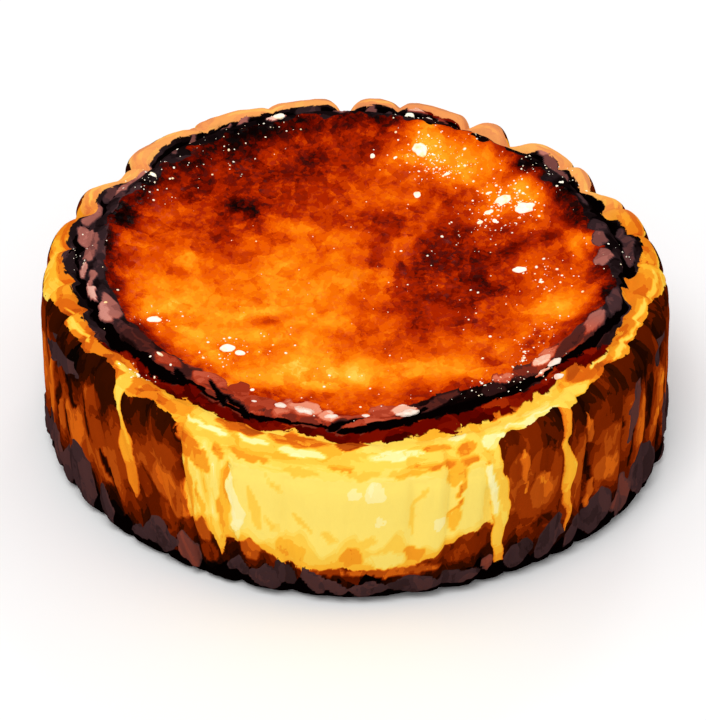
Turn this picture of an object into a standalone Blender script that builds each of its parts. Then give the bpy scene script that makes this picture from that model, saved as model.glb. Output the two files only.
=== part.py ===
"""Burnt Basque cheesecake: one whole, uncut cake, baked in a round tin lined with crumpled paper.

Metres, +Z up. The origin is the middle of the flat base, and the front of the cake faces -Y.

The whole cake is one body. A square grid becomes the soft middle of the top, its edge is extruded
row by row through the burnt ring, the lip and the wall, and the last row is filled as the base.
Every vertex keeps two numbers: how far along the section of the cake it lies, and its direction
round the cake. One function turns the two into a place, with the folds of the paper, the pale
streaks beside some of them, the notches of the far lip and the broken plates of crust as relief.
"""
import math

import bmesh
import bpy
import numpy as np
from mathutils import Vector, noise

# ---- driving dimensions, in metres ----
CAKE_RADIUS = 0.100
MIDDLE_HEIGHT = 0.0545          # the top has sunk in the middle
RING_HEIGHT = 0.0612            # crest of the burnt ring
GROOVE_HEIGHT = 0.0580          # dark groove round the outside of the ring
LIP_HEIGHT = 0.0588             # soft lip between the groove and the wall
BASE_ROUNDING = 0.0110          # where the wall starts to turn in to the base

FOLD_SWELL = 0.0012             # how far the cake swells between two folds of the paper
FOLD_DEPTH = 0.0016             # how deep a fold bites in
FOLD_HALF_WIDTH = 0.0017
FULL_PANEL = 13.0              # a panel this many degrees wide, or wider, swells fully
FOLD_FADES = 26.0               # how often a fold fades and deepens on its way down, per metre
PANEL_TILT = 0.0011             # how far one side of a panel between two folds stands out
STREAK_HEIGHT = 0.0006          # the pale ridges that run down beside some folds
FOLD_LEAN = 11.0                # degrees that the folds on the left side turn from top to base
NOTCH_DROP = 0.35               # how much of its depth a notch lowers the lip

RING_PLATE = (0.0115, 0.0065)   # broken plates of the burnt ring: size round the cake and across the ring
RING_PLATE_DEPTH = 0.0011
BASE_PLATE = (0.0095, 0.0150)   # charred plates low on the wall: size round the cake and upwards
BASE_PLATE_DEPTH = 0.0010
CHAR_HEIGHT = 0.024             # the charred plates end here
BASE_PLATE_LEAN = 4.0           # degrees that these plates turn in towards the front at the base
WRINKLE_DEPTH = 0.0004          # fine upright wrinkles of the wall
TOP_SWELL_SIZE = 0.030          # the soft waves of the top
TOP_SWELL_DEPTH = 0.0007

# ---- fineness of the mesh ----
TOP_CELLS = 24                  # cells along each side of the grid that becomes the middle
COLUMNS = TOP_CELLS * 8         # columns of cells round the ring, the lip and the wall
RING_ROWS = 12                  # rows from the foot of the burnt ring to the shoulder
WALL_ROWS = 13
SECTION_STEPS = 24              # points worked out between two stations of the section

# The section from the middle of the top to the edge of the base:
# share of the radius, and height above the base.
SECTION = (
    (0.000, MIDDLE_HEIGHT),
    (0.300, MIDDLE_HEIGHT + 0.0001),
    (0.550, MIDDLE_HEIGHT + 0.0011),
    (0.700, MIDDLE_HEIGHT + 0.0028),
    (0.770, RING_HEIGHT - 0.0016),
    (0.815, RING_HEIGHT),
    (0.850, RING_HEIGHT - 0.0010),
    (0.874, GROOVE_HEIGHT),
    (0.908, LIP_HEIGHT),
    (0.944, LIP_HEIGHT - 0.0008),
    (0.974, LIP_HEIGHT - 0.0030),
    (0.992, LIP_HEIGHT - 0.0070),
    (1.000, LIP_HEIGHT - 0.0130),
    (0.990, 0.0340),
    (0.984, 0.0220),
    (0.978, BASE_ROUNDING),
    (0.966, 0.0032),
    (0.935, 0.0),
)
RING_FOOT = 0.700               # share of the radius where the middle ends and the ring's rows begin
SHOULDER = 0.992                # share of the radius where the wall's rows begin

# How far the outline is from round: waves round the cake, size as a share of the radius,
# and the direction in degrees of the first swelling, from the front towards +X.
TOP_OUTLINE = ((2, 0.031, 20), (4, 0.0065, 4))
BASE_OUTLINE = ((2, 0.015, 58), (3, 0.025, 62), (4, 0.014, -4))
OUTLINE_BLEND = 0.055           # height where the outline of the top takes over from that of the base

# Folds of the paper: direction at the top edge in degrees from the front towards +X, and strength.
FOLDS = (
    (-178.0, 1.5), (-163.0, 0.5), (-148.0, 0.9), (-130.0, 1.1), (-112.5, 1.1), (-97.0, 0.9),
    (-85.0, 0.8), (-75.0, 0.9), (-66.0, 0.8), (-57.5, 0.8), (-49.0, 1.0), (-41.5, 0.4),
    (-33.5, 0.8), (-22.0, 0.8), (-12.0, 0.3), (10.0, 0.3), (16.0, 0.4), (23.2, 1.0),
    (29.3, 0.7), (35.0, 0.4), (39.2, 0.9), (45.0, 0.9), (55.5, 0.9), (64.5, 0.8), (72.5, 0.7),
    (81.0, 0.7), (91.5, 1.0), (102.0, 0.8), (112.0, 1.1), (121.0, 0.5), (130.0, 0.9),
    (145.5, 1.1), (155.5, 0.9), (171.0, 0.7),
)
# Notches in the far edge of the lip: direction, half width in degrees, depth.
NOTCHES = (
    (120.5, 4.6, 0.0040), (145.0, 3.2, 0.0052), (155.0, 2.2, 0.0028),
    (-178.0, 2.4, 0.0044), (-125.0, 4.6, 0.0044), (-110.5, 3.2, 0.0030),
)
# Pale ridges: direction at the lip and at the lower end, height of that end, half width.
STREAKS = (
    (-49.2, -42.0, 0.022, 0.0022), (-22.4, -20.4, 0.023, 0.0020), (23.4, 26.0, 0.007, 0.0024),
    (39.4, 39.2, 0.013, 0.0022), (91.5, 93.5, 0.015, 0.0020), (-112.5, -106.5, 0.022, 0.0018),
    (-148.0, -147.0, 0.013, 0.0024), (145.5, 143.6, 0.010, 0.0022),
)

CRUST_COLOUR = (0.36, 0.13, 0.025, 1.0)
CRUST_ROUGHNESS = 0.5


def remove_old_objects():
    """Empty the scene."""
    for old in list(bpy.data.objects):
        bpy.data.objects.remove(old, do_unlink=True)


def smooth_step(low, high, value):
    """Rise smoothly from 0 at low to 1 at high."""
    share = min(1.0, max(0.0, (value - low) / (high - low)))
    return share * share * (3.0 - 2.0 * share)


def section_curve():
    """Return the smooth section as arrays: length along it, distance from the axis, height."""
    stations = np.array([(share * CAKE_RADIUS, height) for share, height in SECTION])
    before = np.vstack((stations[:1] * (-1.0, 1.0), stations[:-1]))
    after = np.vstack((stations[1:], stations[-1:]))
    tangents = (after - before) / 2.0
    tangents[0, 1] = 0.0
    steps = np.linspace(0.0, 1.0, SECTION_STEPS, endpoint=False)[:, None]
    points = []
    for start, end, leave, arrive in zip(stations, stations[1:], tangents, tangents[1:]):
        points.append((2 * steps**3 - 3 * steps**2 + 1) * start + (steps**3 - 2 * steps**2 + steps) * leave
                      + (3 * steps**2 - 2 * steps**3) * end + (steps**3 - steps**2) * arrive)
    points = np.vstack(points + [stations[-1:]])
    lengths = np.concatenate(([0.0], np.cumsum(np.hypot(*np.diff(points, axis=0).T))))
    return lengths, points[:, 0], points[:, 1]


LENGTHS, DISTANCES, HEIGHTS = section_curve()
FOLD_DIRECTIONS = np.array([direction for direction, strength in FOLDS])
FOLD_STRENGTHS = np.array([strength for direction, strength in FOLDS])


def length_at(share):
    """Length along the section where the distance from the axis first reaches this share."""
    return float(LENGTHS[np.argmax(DISTANCES >= share * CAKE_RADIUS)])


SHOULDER_LENGTH = length_at(SHOULDER)
SHOULDER_HEIGHT = float(np.interp(SHOULDER_LENGTH, LENGTHS, HEIGHTS))


def outline(waves, direction):
    """Radius of an outline in this direction, as a share of the cake's radius."""
    return 1.0 + sum(size * math.cos(math.radians(count * (direction - peak)))
                     for count, size, peak in waves)


def notch(direction):
    """Depth of the notches in the lip in this direction."""
    return sum(depth * math.exp(-(((direction - middle + 180.0) % 360.0 - 180.0) / half) ** 2)
               for middle, half, depth in NOTCHES)


def column_direction(even):
    """Pull the columns of the mesh onto the folds, so that each fold is a crisp crease."""
    step = 360.0 / COLUMNS
    columns = np.round(FOLD_DIRECTIONS / step) * step
    return even + float(np.interp(even, columns, FOLD_DIRECTIONS - columns, period=360.0))


def lean(direction):
    """Degrees that a fold at this direction turns towards the front on its way to the base."""
    return FOLD_LEAN * smooth_step(-25.0, -45.0, direction) * smooth_step(-160.0, -110.0, direction)


def between_folds(direction, height):
    """Return how far the panel between two folds stands out, and the bite of the nearest fold."""
    index = int(np.searchsorted(FOLD_DIRECTIONS, direction, side="right")) - 1
    following = (index + 1) % len(FOLDS)
    start = FOLD_DIRECTIONS[index]
    width = (FOLD_DIRECTIONS[following] - start) % 360.0
    share = ((direction - start) % 360.0) / width
    full = min(1.0, width / FULL_PANEL)
    stand = FOLD_SWELL * full * (0.5 - abs(2.0 * share - 1.0) ** 3)
    tilt = noise.cell(Vector((start * 3.7, 0.5, 0.5)))
    edges = FOLD_STRENGTHS[index] * (1.0 - share) + FOLD_STRENGTHS[following] * share
    stand += PANEL_TILT * tilt * (share - 0.5) * min(1.0, edges)
    near = index if share < 0.5 else following
    away = math.radians(min(share, 1.0 - share) * width) * CAKE_RADIUS
    fade = 0.85 + 0.9 * noise.noise(Vector((near * 5.3, height * FOLD_FADES, 0.4)))
    return stand, FOLD_STRENGTHS[near] * fade * math.exp(-(away / FOLD_HALF_WIDTH) ** 2)


def streak(turned, height):
    """How much of a pale ridge is at this place, 0 to 1: it runs down from the lip and thins out."""
    best = 0.0
    for at_lip, at_end, end_height, half_width in STREAKS:
        down = (LIP_HEIGHT - height) / (LIP_HEIGHT - end_height)
        width = half_width * smooth_step(1.0, 0.7, down)
        if width > 0.0:
            away = math.radians(turned - at_lip - (at_end - at_lip) * down) * CAKE_RADIUS
            best = max(best, math.exp(-(away / width) ** 4))
    return best


def on_tube(direction, length):
    """Lay a point of the skin on a plain tube, where plates of one size stay that size."""
    angle = math.radians(direction)
    return Vector((CAKE_RADIUS * math.sin(angle), -CAKE_RADIUS * math.cos(angle), length))


def push_about(place):
    """Three noises at one place, as a vector that moves it about."""
    return Vector((noise.noise(place), noise.noise(place + Vector((9.3, 1.5, 7.9))),
                   noise.noise(place + Vector((6.3, 0.2, 2.7)))))


def plates(tube, sizes, seed):
    """Broken plates of these sizes, from about -1 to 1: each at a height and a slope of its own."""
    across, along = sizes
    place = Vector((tube.x / across, tube.y / across, tube.z / along + seed))
    place += 0.35 * push_about(place * 1.7)
    centre = noise.voronoi(place)[1][0]
    return 0.55 * noise.cell(centre * 7.3) + 2.2 * (place - centre).dot(push_about(centre * 5.1))


def cake_place(length, direction):
    """Turn a length along the section and a direction in degrees into a place on the cake."""
    distance = float(np.interp(length, LENGTHS, DISTANCES))
    height = float(np.interp(length, LENGTHS, HEIGHTS))
    on_wall = length > SHOULDER_LENGTH
    share = distance / CAKE_RADIUS
    outer = 1.0 if on_wall else smooth_step(0.80, 0.95, share)
    turned = direction + lean(direction) * max(0.0, 1.0 - height / LIP_HEIGHT) * outer
    angle = math.radians(turned)

    blend = min(1.0, height / OUTLINE_BLEND)
    stretch = blend * outline(TOP_OUTLINE, turned) + (1.0 - blend) * outline(BASE_OUTLINE, turned)
    stand, bite = between_folds(direction, height)
    ridge = streak(turned, height)
    notched = notch(turned) * blend**2
    upright = 0.6 + 0.4 * smooth_step(0.020, 0.052, height)
    push = stand - FOLD_DEPTH * bite * upright * (1.0 - ridge) + STREAK_HEIGHT * ridge - notched
    distance = distance * stretch + push * outer
    x, y = distance * math.sin(angle), -distance * math.cos(angle)

    if on_wall:
        low = smooth_step(CHAR_HEIGHT, 0.5 * CHAR_HEIGHT, height) * smooth_step(0.0, 0.004, height)
        lean_in = BASE_PLATE_LEAN * math.sin(math.radians(direction)) * smooth_step(CHAR_HEIGHT, 0.0, height)
        lifted = plates(on_tube(direction + lean_in, length), BASE_PLATE, 3.0)
        along = math.radians(turned) * CAKE_RADIUS
        wrinkles = noise.noise(Vector((along * 180.0, height * 45.0, 5.0)))
        distance += BASE_PLATE_DEPTH * (0.9 * lifted - 0.3) * low + WRINKLE_DEPTH * wrinkles
        height -= NOTCH_DROP * notched * smooth_step(0.040, SHOULDER_HEIGHT, height)
        return distance * math.sin(angle), -distance * math.cos(angle), height

    on_ring = smooth_step(0.72, 0.78, share) * smooth_step(0.93, 0.88, share)
    on_lip = smooth_step(0.86, 0.92, share)
    wave = 1.4 * noise.noise(Vector((x, y, 0.02)) / TOP_SWELL_SIZE)
    wave += 0.4 * noise.noise(Vector((x, y, 0.07)) * 3.1 / TOP_SWELL_SIZE)
    height += TOP_SWELL_DEPTH * wave * (1.0 - outer)
    height += RING_PLATE_DEPTH * plates(on_tube(direction, length), RING_PLATE, 1.0) * on_ring
    height += on_lip * (0.5 * stand - 0.4 * FOLD_DEPTH * bite + 0.5 * STREAK_HEIGHT * ridge)
    height -= on_lip * NOTCH_DROP * notched
    return x, y, height


def square_to_round(x, y):
    """Return the ring (0 to 1) and the direction in degrees of a point of a square of half side 1."""
    ring = max(abs(x), abs(y))
    if ring < 1e-9:
        return 0.0, 0.0
    if abs(y) >= abs(x):
        turn = 45.0 * x / abs(y)
        return ring, turn if y < 0 else 180.0 - turn
    turn = 45.0 * y / abs(x)
    return ring, 90.0 + turn if x > 0 else -90.0 - turn


def grow_rows(bm, edge, length_of, start, end, rows):
    """Extrude an open edge row by row, spreading the rows evenly along the section."""
    for row in range(1, rows + 1):
        grown = bmesh.ops.extrude_edge_only(bm, edges=edge)["geom"]
        for vertex in grown:
            if isinstance(vertex, bmesh.types.BMVert):
                vertex[length_of] = start + (end - start) * row / rows
        edge = [item for item in grown if isinstance(item, bmesh.types.BMEdge) and item.is_boundary]
    return edge


def build_cake():
    """Make the cake's mesh: a grid for the middle, extruded rows out to the base, and the base."""
    bm = bmesh.new()
    bmesh.ops.create_grid(bm, x_segments=TOP_CELLS, y_segments=TOP_CELLS, size=1.0)
    edge = [item for item in bm.edges if item.is_boundary]
    bmesh.ops.subdivide_edges(bm, edges=edge, cuts=1)
    length_of = bm.verts.layers.float.new("length")
    direction_of = bm.verts.layers.float.new("direction")
    foot = length_at(RING_FOOT)
    for vertex in bm.verts:
        ring, even = square_to_round(vertex.co.x, vertex.co.y)
        vertex[length_of] = foot * ring
        vertex[direction_of] = even + (column_direction(even) - even) * ring**2

    edge = [item for item in bm.edges if item.is_boundary]
    edge = grow_rows(bm, edge, length_of, foot, SHOULDER_LENGTH, RING_ROWS)
    edge = grow_rows(bm, edge, length_of, SHOULDER_LENGTH, LENGTHS[-1], WALL_ROWS)
    for vertex in bm.verts:
        direction = (vertex[direction_of] + 180.0) % 360.0 - 180.0
        vertex.co = cake_place(vertex[length_of], direction)
    for base_edge in edge:
        for vertex in base_edge.verts:
            vertex.co.z = 0.0
    bmesh.ops.contextual_create(bm, geom=edge)
    bmesh.ops.recalc_face_normals(bm, faces=bm.faces)
    mesh = bpy.data.meshes.new("cheesecake")
    bm.to_mesh(mesh)
    bm.free()
    mesh.shade_smooth()
    mesh.set_sharp_from_angle(angle=math.radians(50.0))
    return mesh


def crust_material():
    """Browned crust: a warm brown, half glossy."""
    material = bpy.data.materials.new("browned_crust")
    material.use_nodes = True
    shader = material.node_tree.nodes["Principled BSDF"]
    shader.inputs["Base Color"].default_value = CRUST_COLOUR
    shader.inputs["Roughness"].default_value = CRUST_ROUGHNESS
    shader.inputs["Metallic"].default_value = 0.0
    return material


def main():
    """Build the cheesecake in its own collection."""
    remove_old_objects()
    collection = bpy.data.collections.new("basque_cheesecake")
    bpy.context.scene.collection.children.link(collection)
    cake = bpy.data.objects.new("cheesecake", build_cake())
    cake.data.materials.append(crust_material())
    collection.objects.link(cake)


main()
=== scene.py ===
# %% [markdown]
# # A burnt Basque cheesecake
#
# The real thing is one whole cake, baked very hot in a round tin lined with crumpled paper. Its top
# burns to caramel and sinks as it cools, the edge of the top dries to a black flaky ring, and the
# wall keeps every fold of the paper. This file dresses a plain solid of that cake: it rebuilds its
# skin with finer relief, bakes its colours from a few rules, painted light and shade among them, and
# scatters burnt sugar on the top, whose pale lumps, grains and blisters are also painted glints and
# highlights.
#
# The solid comes first. It is loaded as a fixed frame, and its box is kept.

# %% Load the plain solid
import math
from collections import namedtuple
from types import SimpleNamespace

import bmesh
import bpy
import numpy as np
from mathutils import Matrix, Vector, noise
from mathutils.bvhtree import BVHTree


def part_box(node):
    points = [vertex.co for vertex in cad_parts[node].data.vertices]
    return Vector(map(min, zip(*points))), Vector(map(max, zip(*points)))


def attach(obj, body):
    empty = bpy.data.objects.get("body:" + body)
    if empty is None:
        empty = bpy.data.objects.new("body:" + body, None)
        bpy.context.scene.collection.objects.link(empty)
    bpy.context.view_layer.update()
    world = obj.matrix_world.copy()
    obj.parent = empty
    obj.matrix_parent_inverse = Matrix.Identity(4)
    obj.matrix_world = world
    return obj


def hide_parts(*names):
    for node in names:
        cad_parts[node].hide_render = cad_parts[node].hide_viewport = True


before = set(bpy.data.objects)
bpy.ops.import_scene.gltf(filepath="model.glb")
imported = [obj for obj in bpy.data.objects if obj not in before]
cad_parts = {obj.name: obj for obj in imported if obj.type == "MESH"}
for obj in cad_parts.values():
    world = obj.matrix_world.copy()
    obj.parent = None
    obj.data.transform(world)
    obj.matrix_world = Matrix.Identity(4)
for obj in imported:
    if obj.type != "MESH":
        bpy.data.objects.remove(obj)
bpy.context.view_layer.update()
low_corner, high_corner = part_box("cheesecake")
print("solid:", [round(side * 1000, 1) for side in high_corner - low_corner], "mm")

# %% [markdown]
# ## The camera
#
# The picture looks down on the cake from the front with a long lens, so its round top shows as a
# wide ellipse and its far side is hardly smaller than its near side. The middle of the cake doesn't
# lie in the middle of the picture. Aiming a little below it puts it there without any lens shift.

# %% Place the camera
PICTURE_WIDTH, PICTURE_HEIGHT = 706, 720
SENSOR = 36.0                            # millimetres along the longer side of the picture
CAMERA_ELEVATION = math.radians(36.0)
CAMERA_DISTANCE = 1.25                   # metres from the middle of the cake
PIXELS_PER_METRE = 3148.0                # at the middle of the cake
MIDDLE_PIXEL = (354.8, 337.5)            # where the middle of the cake lies in the picture
CAKE_MIDDLE = Vector((0.0, 0.0, 0.03075))

to_camera = Vector((0.0, -math.cos(CAMERA_ELEVATION), math.sin(CAMERA_ELEVATION)))
camera_up = Vector((0.0, math.sin(CAMERA_ELEVATION), math.cos(CAMERA_ELEVATION)))
aim = CAKE_MIDDLE + Vector((1.0, 0.0, 0.0)) * (PICTURE_WIDTH / 2 - MIDDLE_PIXEL[0]) / PIXELS_PER_METRE
aim = aim + camera_up * (MIDDLE_PIXEL[1] - PICTURE_HEIGHT / 2) / PIXELS_PER_METRE

camera = bpy.data.objects.new("camera", bpy.data.cameras.new("camera"))
camera.location = CAKE_MIDDLE + to_camera * CAMERA_DISTANCE
camera.rotation_euler = (aim - camera.location).to_track_quat("-Z", "Y").to_euler()
camera.data.sensor_width = SENSOR
camera.data.lens = SENSOR * CAMERA_DISTANCE * PIXELS_PER_METRE / PICTURE_HEIGHT
bpy.context.scene.collection.objects.link(camera)
bpy.context.scene.camera = camera
print("lens:", round(camera.data.lens, 1), "mm")

# %% [markdown]
# ## Sockets and colours
#
# A material is a tree of nodes that are joined at their sockets. An input socket takes a plain value
# or a link from another node, so one helper does both. Colours are written from 0 to 255, as a screen
# shows them, because that is how they are picked from a picture.

# %% Set sockets and colours
def wire(target, value):
    """Join a signal to an input socket, or set the socket to a plain value."""
    if isinstance(value, Signal):
        target.id_data.links.new(value.socket, target)
    else:
        target.default_value = value


def srgb(red, green, blue):
    """Turn a colour of 0 to 255, as a screen shows it, into the linear colour that Blender uses."""
    shares = [channel / 255.0 for channel in (red, green, blue)]
    linear = [s / 12.92 if s <= 0.04045 else ((s + 0.055) / 1.055) ** 2.4 for s in shares]
    return (*linear, 1.0)


def set_stops(ramp, stops):
    """Give a colour ramp its stops, each a position and a colour of 0 to 255 or a grey of 0 to 1."""
    while len(ramp.elements) > 1:
        ramp.elements.remove(ramp.elements[-1])
    for number, (position, colour) in enumerate(stops):
        stop = ramp.elements[0] if number == 0 else ramp.elements.new(position)
        stop.position = position
        stop.color = srgb(*colour) if isinstance(colour, tuple) else (colour, colour, colour, 1.0)


print("cream, as Blender keeps it:", [round(channel, 3) for channel in srgb(254, 226, 110)])

# %% [markdown]
# ## Materials as sums
#
# Long trees are hard to read as node calls, so one small class wraps an output socket and lets it be
# added and multiplied like a number. Everything else, such as a texture or a colour ramp, comes from
# its one `node` method. Browned crust looks painted, in flat touches with ragged edges, and `stepped`
# gives that look to any signal.

# %% Write materials as sums
SLOPE_LEFT = 0.12                        # how much of its slope a signal keeps when it is stepped


class Signal:
    """An output socket that takes part in sums."""

    def __init__(self, socket):
        self.socket = socket

    def node(self, kind, settings=None, sockets=None, output=0):
        """Add a node to the same tree, set it up, join its sockets and return one output."""
        made = self.socket.id_data.nodes.new(kind)
        for name, value in (settings or {}).items():
            if name == "stops":
                set_stops(made.color_ramp, value)
            else:
                setattr(made, name, value)
        for name, value in (sockets or {}).items():
            wire(made.inputs[name], value)
        return Signal(made.outputs[output])

    def maths(self, operation, first, second=0.0):
        return self.node("ShaderNodeMath", {"operation": operation}, {0: first, 1: second})

    def __add__(self, other):
        return self.maths("ADD", self, other)

    def __sub__(self, other):
        return self.maths("SUBTRACT", self, other)

    def __rsub__(self, other):
        return self.maths("SUBTRACT", other, self)

    def __mul__(self, other):
        return self.maths("MULTIPLY", self, other)

    __radd__, __rmul__ = __add__, __mul__

    def between(self, low, high):
        """Rise from 0 to 1 as this signal goes from low to high."""
        limits = {"Value": self, "From Min": low, "From Max": high}
        return self.node("ShaderNodeMapRange", {"interpolation_type": "SMOOTHSTEP"}, limits)

    def stepped(self, step):
        """Flatten this signal into steps, as strokes of a brush, and leave some of its slope in each."""
        flat = self.maths("SNAP", self, step) + step / 2
        return flat * (1.0 - SLOPE_LEFT) + self * SLOPE_LEFT

    def ramp(self, stops):
        """Read a colour ramp at this signal."""
        return self.node("ShaderNodeValToRGB", {"stops": stops}, {"Fac": self})

    def shade(self, second, factor):
        """Mix this colour with a second one."""
        return self.node("ShaderNodeMix", {"data_type": "RGBA"},
                         {"Factor": factor, 6: self, 7: second}, output=2)

    def grain(self, size, detail=3.0, roughness=0.55, output=0):
        """Noise with features of this size in metres, read where this signal points."""
        return self.node("ShaderNodeTexNoise", None,
                         {"Vector": self, "Scale": 1.0 / size, "Detail": detail,
                          "Roughness": roughness}, output)

    def stretched(self, x, y, z):
        """Scale this place along each axis, which draws a pattern out."""
        return self.node("ShaderNodeMapping", None, {"Vector": self, "Scale": (x, y, z)})


def new_material(name):
    """Start a material: returns it, its shader and its object coordinates as a signal."""
    material = bpy.data.materials.new(name)
    material.use_nodes = True
    shader = material.node_tree.nodes["Principled BSDF"]
    coordinates = material.node_tree.nodes.new("ShaderNodeTexCoord")
    return material, shader, Signal(coordinates.outputs["Object"])


print("a signal has:", ", ".join(name for name in vars(Signal) if not name.startswith("_")))

# %% [markdown]
# ## The floor
#
# The cake stands on white paper, as in a studio, which takes a soft shadow and throws light back on
# the wall. A plain square of mesh is enough, because its edges lie far outside the picture.

# %% Lay the floor
FLOOR_SIZE = 6.0

bm = bmesh.new()
bmesh.ops.create_grid(bm, x_segments=1, y_segments=1, size=FLOOR_SIZE / 2)
floor = bpy.data.objects.new("floor", bpy.data.meshes.new("floor"))
bm.to_mesh(floor.data)
bm.free()
bpy.context.scene.collection.objects.link(floor)
floor_material, floor_shader, floor_place = new_material("white_paper_sweep")
wire(floor_shader.inputs["Base Color"],
     floor_place.grain(0.4).ramp([(0.3, (252, 252, 252)), (0.7, (254, 254, 254))]))
floor_shader.inputs["Roughness"].default_value = 0.9
floor_shader.inputs["Specular IOR Level"].default_value = 0.0
floor.data.materials.append(floor_material)
print("floor:", FLOOR_SIZE, "m across")

# %% [markdown]
# ## The light
#
# Broad soft light keeps the colours close to their own values, and most of it comes from all round.
# A large lamp over the front models the folds. A glossy crust needs something bright to mirror, so a
# small lamp behind the cake puts soft glints on the wet-looking caramel at the back.

# %% Hang the lamps
ROOM_LIGHT = 0.66

world = bpy.data.worlds.new("soft_room")
world.use_nodes = True
world.node_tree.nodes["Background"].inputs["Color"].default_value = (1.0, 1.0, 1.0, 1.0)
world.node_tree.nodes["Background"].inputs["Strength"].default_value = ROOM_LIGHT
bpy.context.scene.world = world
bpy.context.scene.view_settings.view_transform = "Standard"


def lamp(name, place, watts, width, height):
    """Hang a rectangular lamp that faces the cake."""
    light = bpy.data.lights.new(name, "AREA")
    light.shape = "RECTANGLE"
    light.size, light.size_y = width, height
    light.energy = watts
    holder = bpy.data.objects.new(name, light)
    holder.location = place
    holder.rotation_euler = (CAKE_MIDDLE - holder.location).to_track_quat("-Z", "Y").to_euler()
    bpy.context.scene.collection.objects.link(holder)


lamp("key", Vector((-0.45, -1.25, 2.70)), watts=40.0, width=1.4, height=1.4)
lamp("glint", Vector((0.30, 1.05, 0.95)), watts=1.5, width=0.30, height=0.12)
print(len(bpy.data.lights), "lamps")

# %% [markdown]
# ## The section
#
# Cut the cake in half and its skin is one line: from the middle of the sunken top out over the burnt
# ring, across a groove, round the soft lip and down the wall. Turning that line would give a cake
# that is the same all round, and this one isn't. So the line is drawn once, as a smooth curve through
# a few stations, and measured along its length. Each point of the skin is then known by two numbers:
# its length along the line, and its direction round the cake, in degrees from the front towards the
# right. The sizes and rules are those of the solid, so both have the same form, and only the fine
# relief is new.

# %% Draw the section
CAKE_RADIUS = 0.100
MIDDLE_HEIGHT = 0.0545
RING_HEIGHT = 0.0612
GROOVE_HEIGHT = 0.0580
LIP_HEIGHT = 0.0588
BASE_ROUNDING = 0.0110
RING_FOOT = 0.70                         # where the ring begins to rise, as a share of the radius
SHOULDER = 0.992                         # where the lip ends and the wall begins, the same
MID_WALL = 0.034                         # a height where the wall is upright
SECTION = (                              # share of the radius, height
    (0.000, MIDDLE_HEIGHT), (0.300, MIDDLE_HEIGHT + 0.0001), (0.550, MIDDLE_HEIGHT + 0.0011),
    (0.700, MIDDLE_HEIGHT + 0.0028), (0.770, RING_HEIGHT - 0.0016), (0.815, RING_HEIGHT),
    (0.850, RING_HEIGHT - 0.0010), (0.874, GROOVE_HEIGHT), (0.908, LIP_HEIGHT),
    (0.944, LIP_HEIGHT - 0.0008), (0.974, LIP_HEIGHT - 0.0030), (0.992, LIP_HEIGHT - 0.0070),
    (1.000, LIP_HEIGHT - 0.0130), (0.990, 0.0340), (0.984, 0.0220), (0.978, BASE_ROUNDING),
    (0.966, 0.0032), (0.935, 0.0),
)


def section_curve(steps_between=24):
    """Return the smooth section as arrays: length along it, distance from the axis, height."""
    stations = np.array([(share * CAKE_RADIUS, height) for share, height in SECTION])
    before = np.vstack((stations[:1] * (-1.0, 1.0), stations[:-1]))
    after = np.vstack((stations[1:], stations[-1:]))
    tangents = (after - before) / 2.0
    tangents[0, 1] = 0.0
    t = np.linspace(0.0, 1.0, steps_between, endpoint=False)[:, None]
    points = []
    for start, end, leave, arrive in zip(stations, stations[1:], tangents, tangents[1:]):
        points.append((2 * t**3 - 3 * t**2 + 1) * start + (t**3 - 2 * t**2 + t) * leave
                      + (3 * t**2 - 2 * t**3) * end + (t**3 - t**2) * arrive)
    points = np.vstack(points + [stations[-1:]])
    lengths = np.concatenate(([0.0], np.cumsum(np.hypot(*np.diff(points, axis=0).T))))
    return lengths, points[:, 0], points[:, 1]


def length_at(share):
    """Length along the section where the distance from the axis first reaches this share."""
    return float(LENGTHS[np.argmax(DISTANCES >= share * CAKE_RADIUS)])


def length_on_wall(height):
    """Length along the section where the wall has this height."""
    half = len(HEIGHTS) // 2
    return float(np.interp(-height, -HEIGHTS[half:], LENGTHS[half:]))


LENGTHS, DISTANCES, HEIGHTS = section_curve()
SHOULDER_LENGTH = length_at(SHOULDER)
SHOULDER_HEIGHT = float(np.interp(SHOULDER_LENGTH, LENGTHS, HEIGHTS))
WALL_FOOT = length_on_wall(MID_WALL) + MID_WALL
print("length of the section:", round(LENGTHS[-1] * 1000, 1), "mm")

# %% [markdown]
# ## The outline
#
# Seen from above, a cake from a lined tin is never quite round. A few waves added to a circle give an
# uneven outline that closes on itself, and other waves at the base let the wall lean a little. At
# the back the deepest folds of the paper reach the top and notch the lip.

# %% Make the outline uneven
TOP_OUTLINE = ((2, 0.031, 20), (4, 0.0065, 4))
BASE_OUTLINE = ((2, 0.015, 58), (3, 0.025, 62), (4, 0.014, -4))
OUTLINE_BLEND = 0.055
NOTCHES = (                              # direction, half width in degrees, depth of a notch in the lip
    (120.5, 4.6, 0.0040), (145.0, 3.2, 0.0052), (155.0, 2.2, 0.0028), (-178.0, 2.4, 0.0044),
    (-125.0, 4.6, 0.0044), (-110.5, 3.2, 0.0030),
)
NOTCH_DROP = 0.35                        # how much of its depth a notch lowers the lip


def outline(waves, direction):
    """Radius of an outline in this direction, as a share of the cake's radius."""
    return 1.0 + sum(size * math.cos(math.radians(count * (direction - peak)))
                     for count, size, peak in waves)


def notch(direction):
    """Depth of the notches in the lip in this direction."""
    return sum(depth * math.exp(-(((direction - middle + 180.0) % 360.0 - 180.0) / half) ** 2)
               for middle, half, depth in NOTCHES)


print("widest:", round(max(outline(TOP_OUTLINE, turn) for turn in range(360)) * CAKE_RADIUS * 2000), "mm")

# %% [markdown]
# ## The folds of the paper
#
# Crumpled baking paper leaves upright folds in the wall. Between two folds the wall stands out in a
# panel, a little tilted, and in each fold it bites in. The folds stand at uneven distances, so each
# has its own direction and strength in a list. On the left they lean towards the front as they go
# down. A fold isn't cut with the same depth all the way, so noise makes it fade and return.

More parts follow.
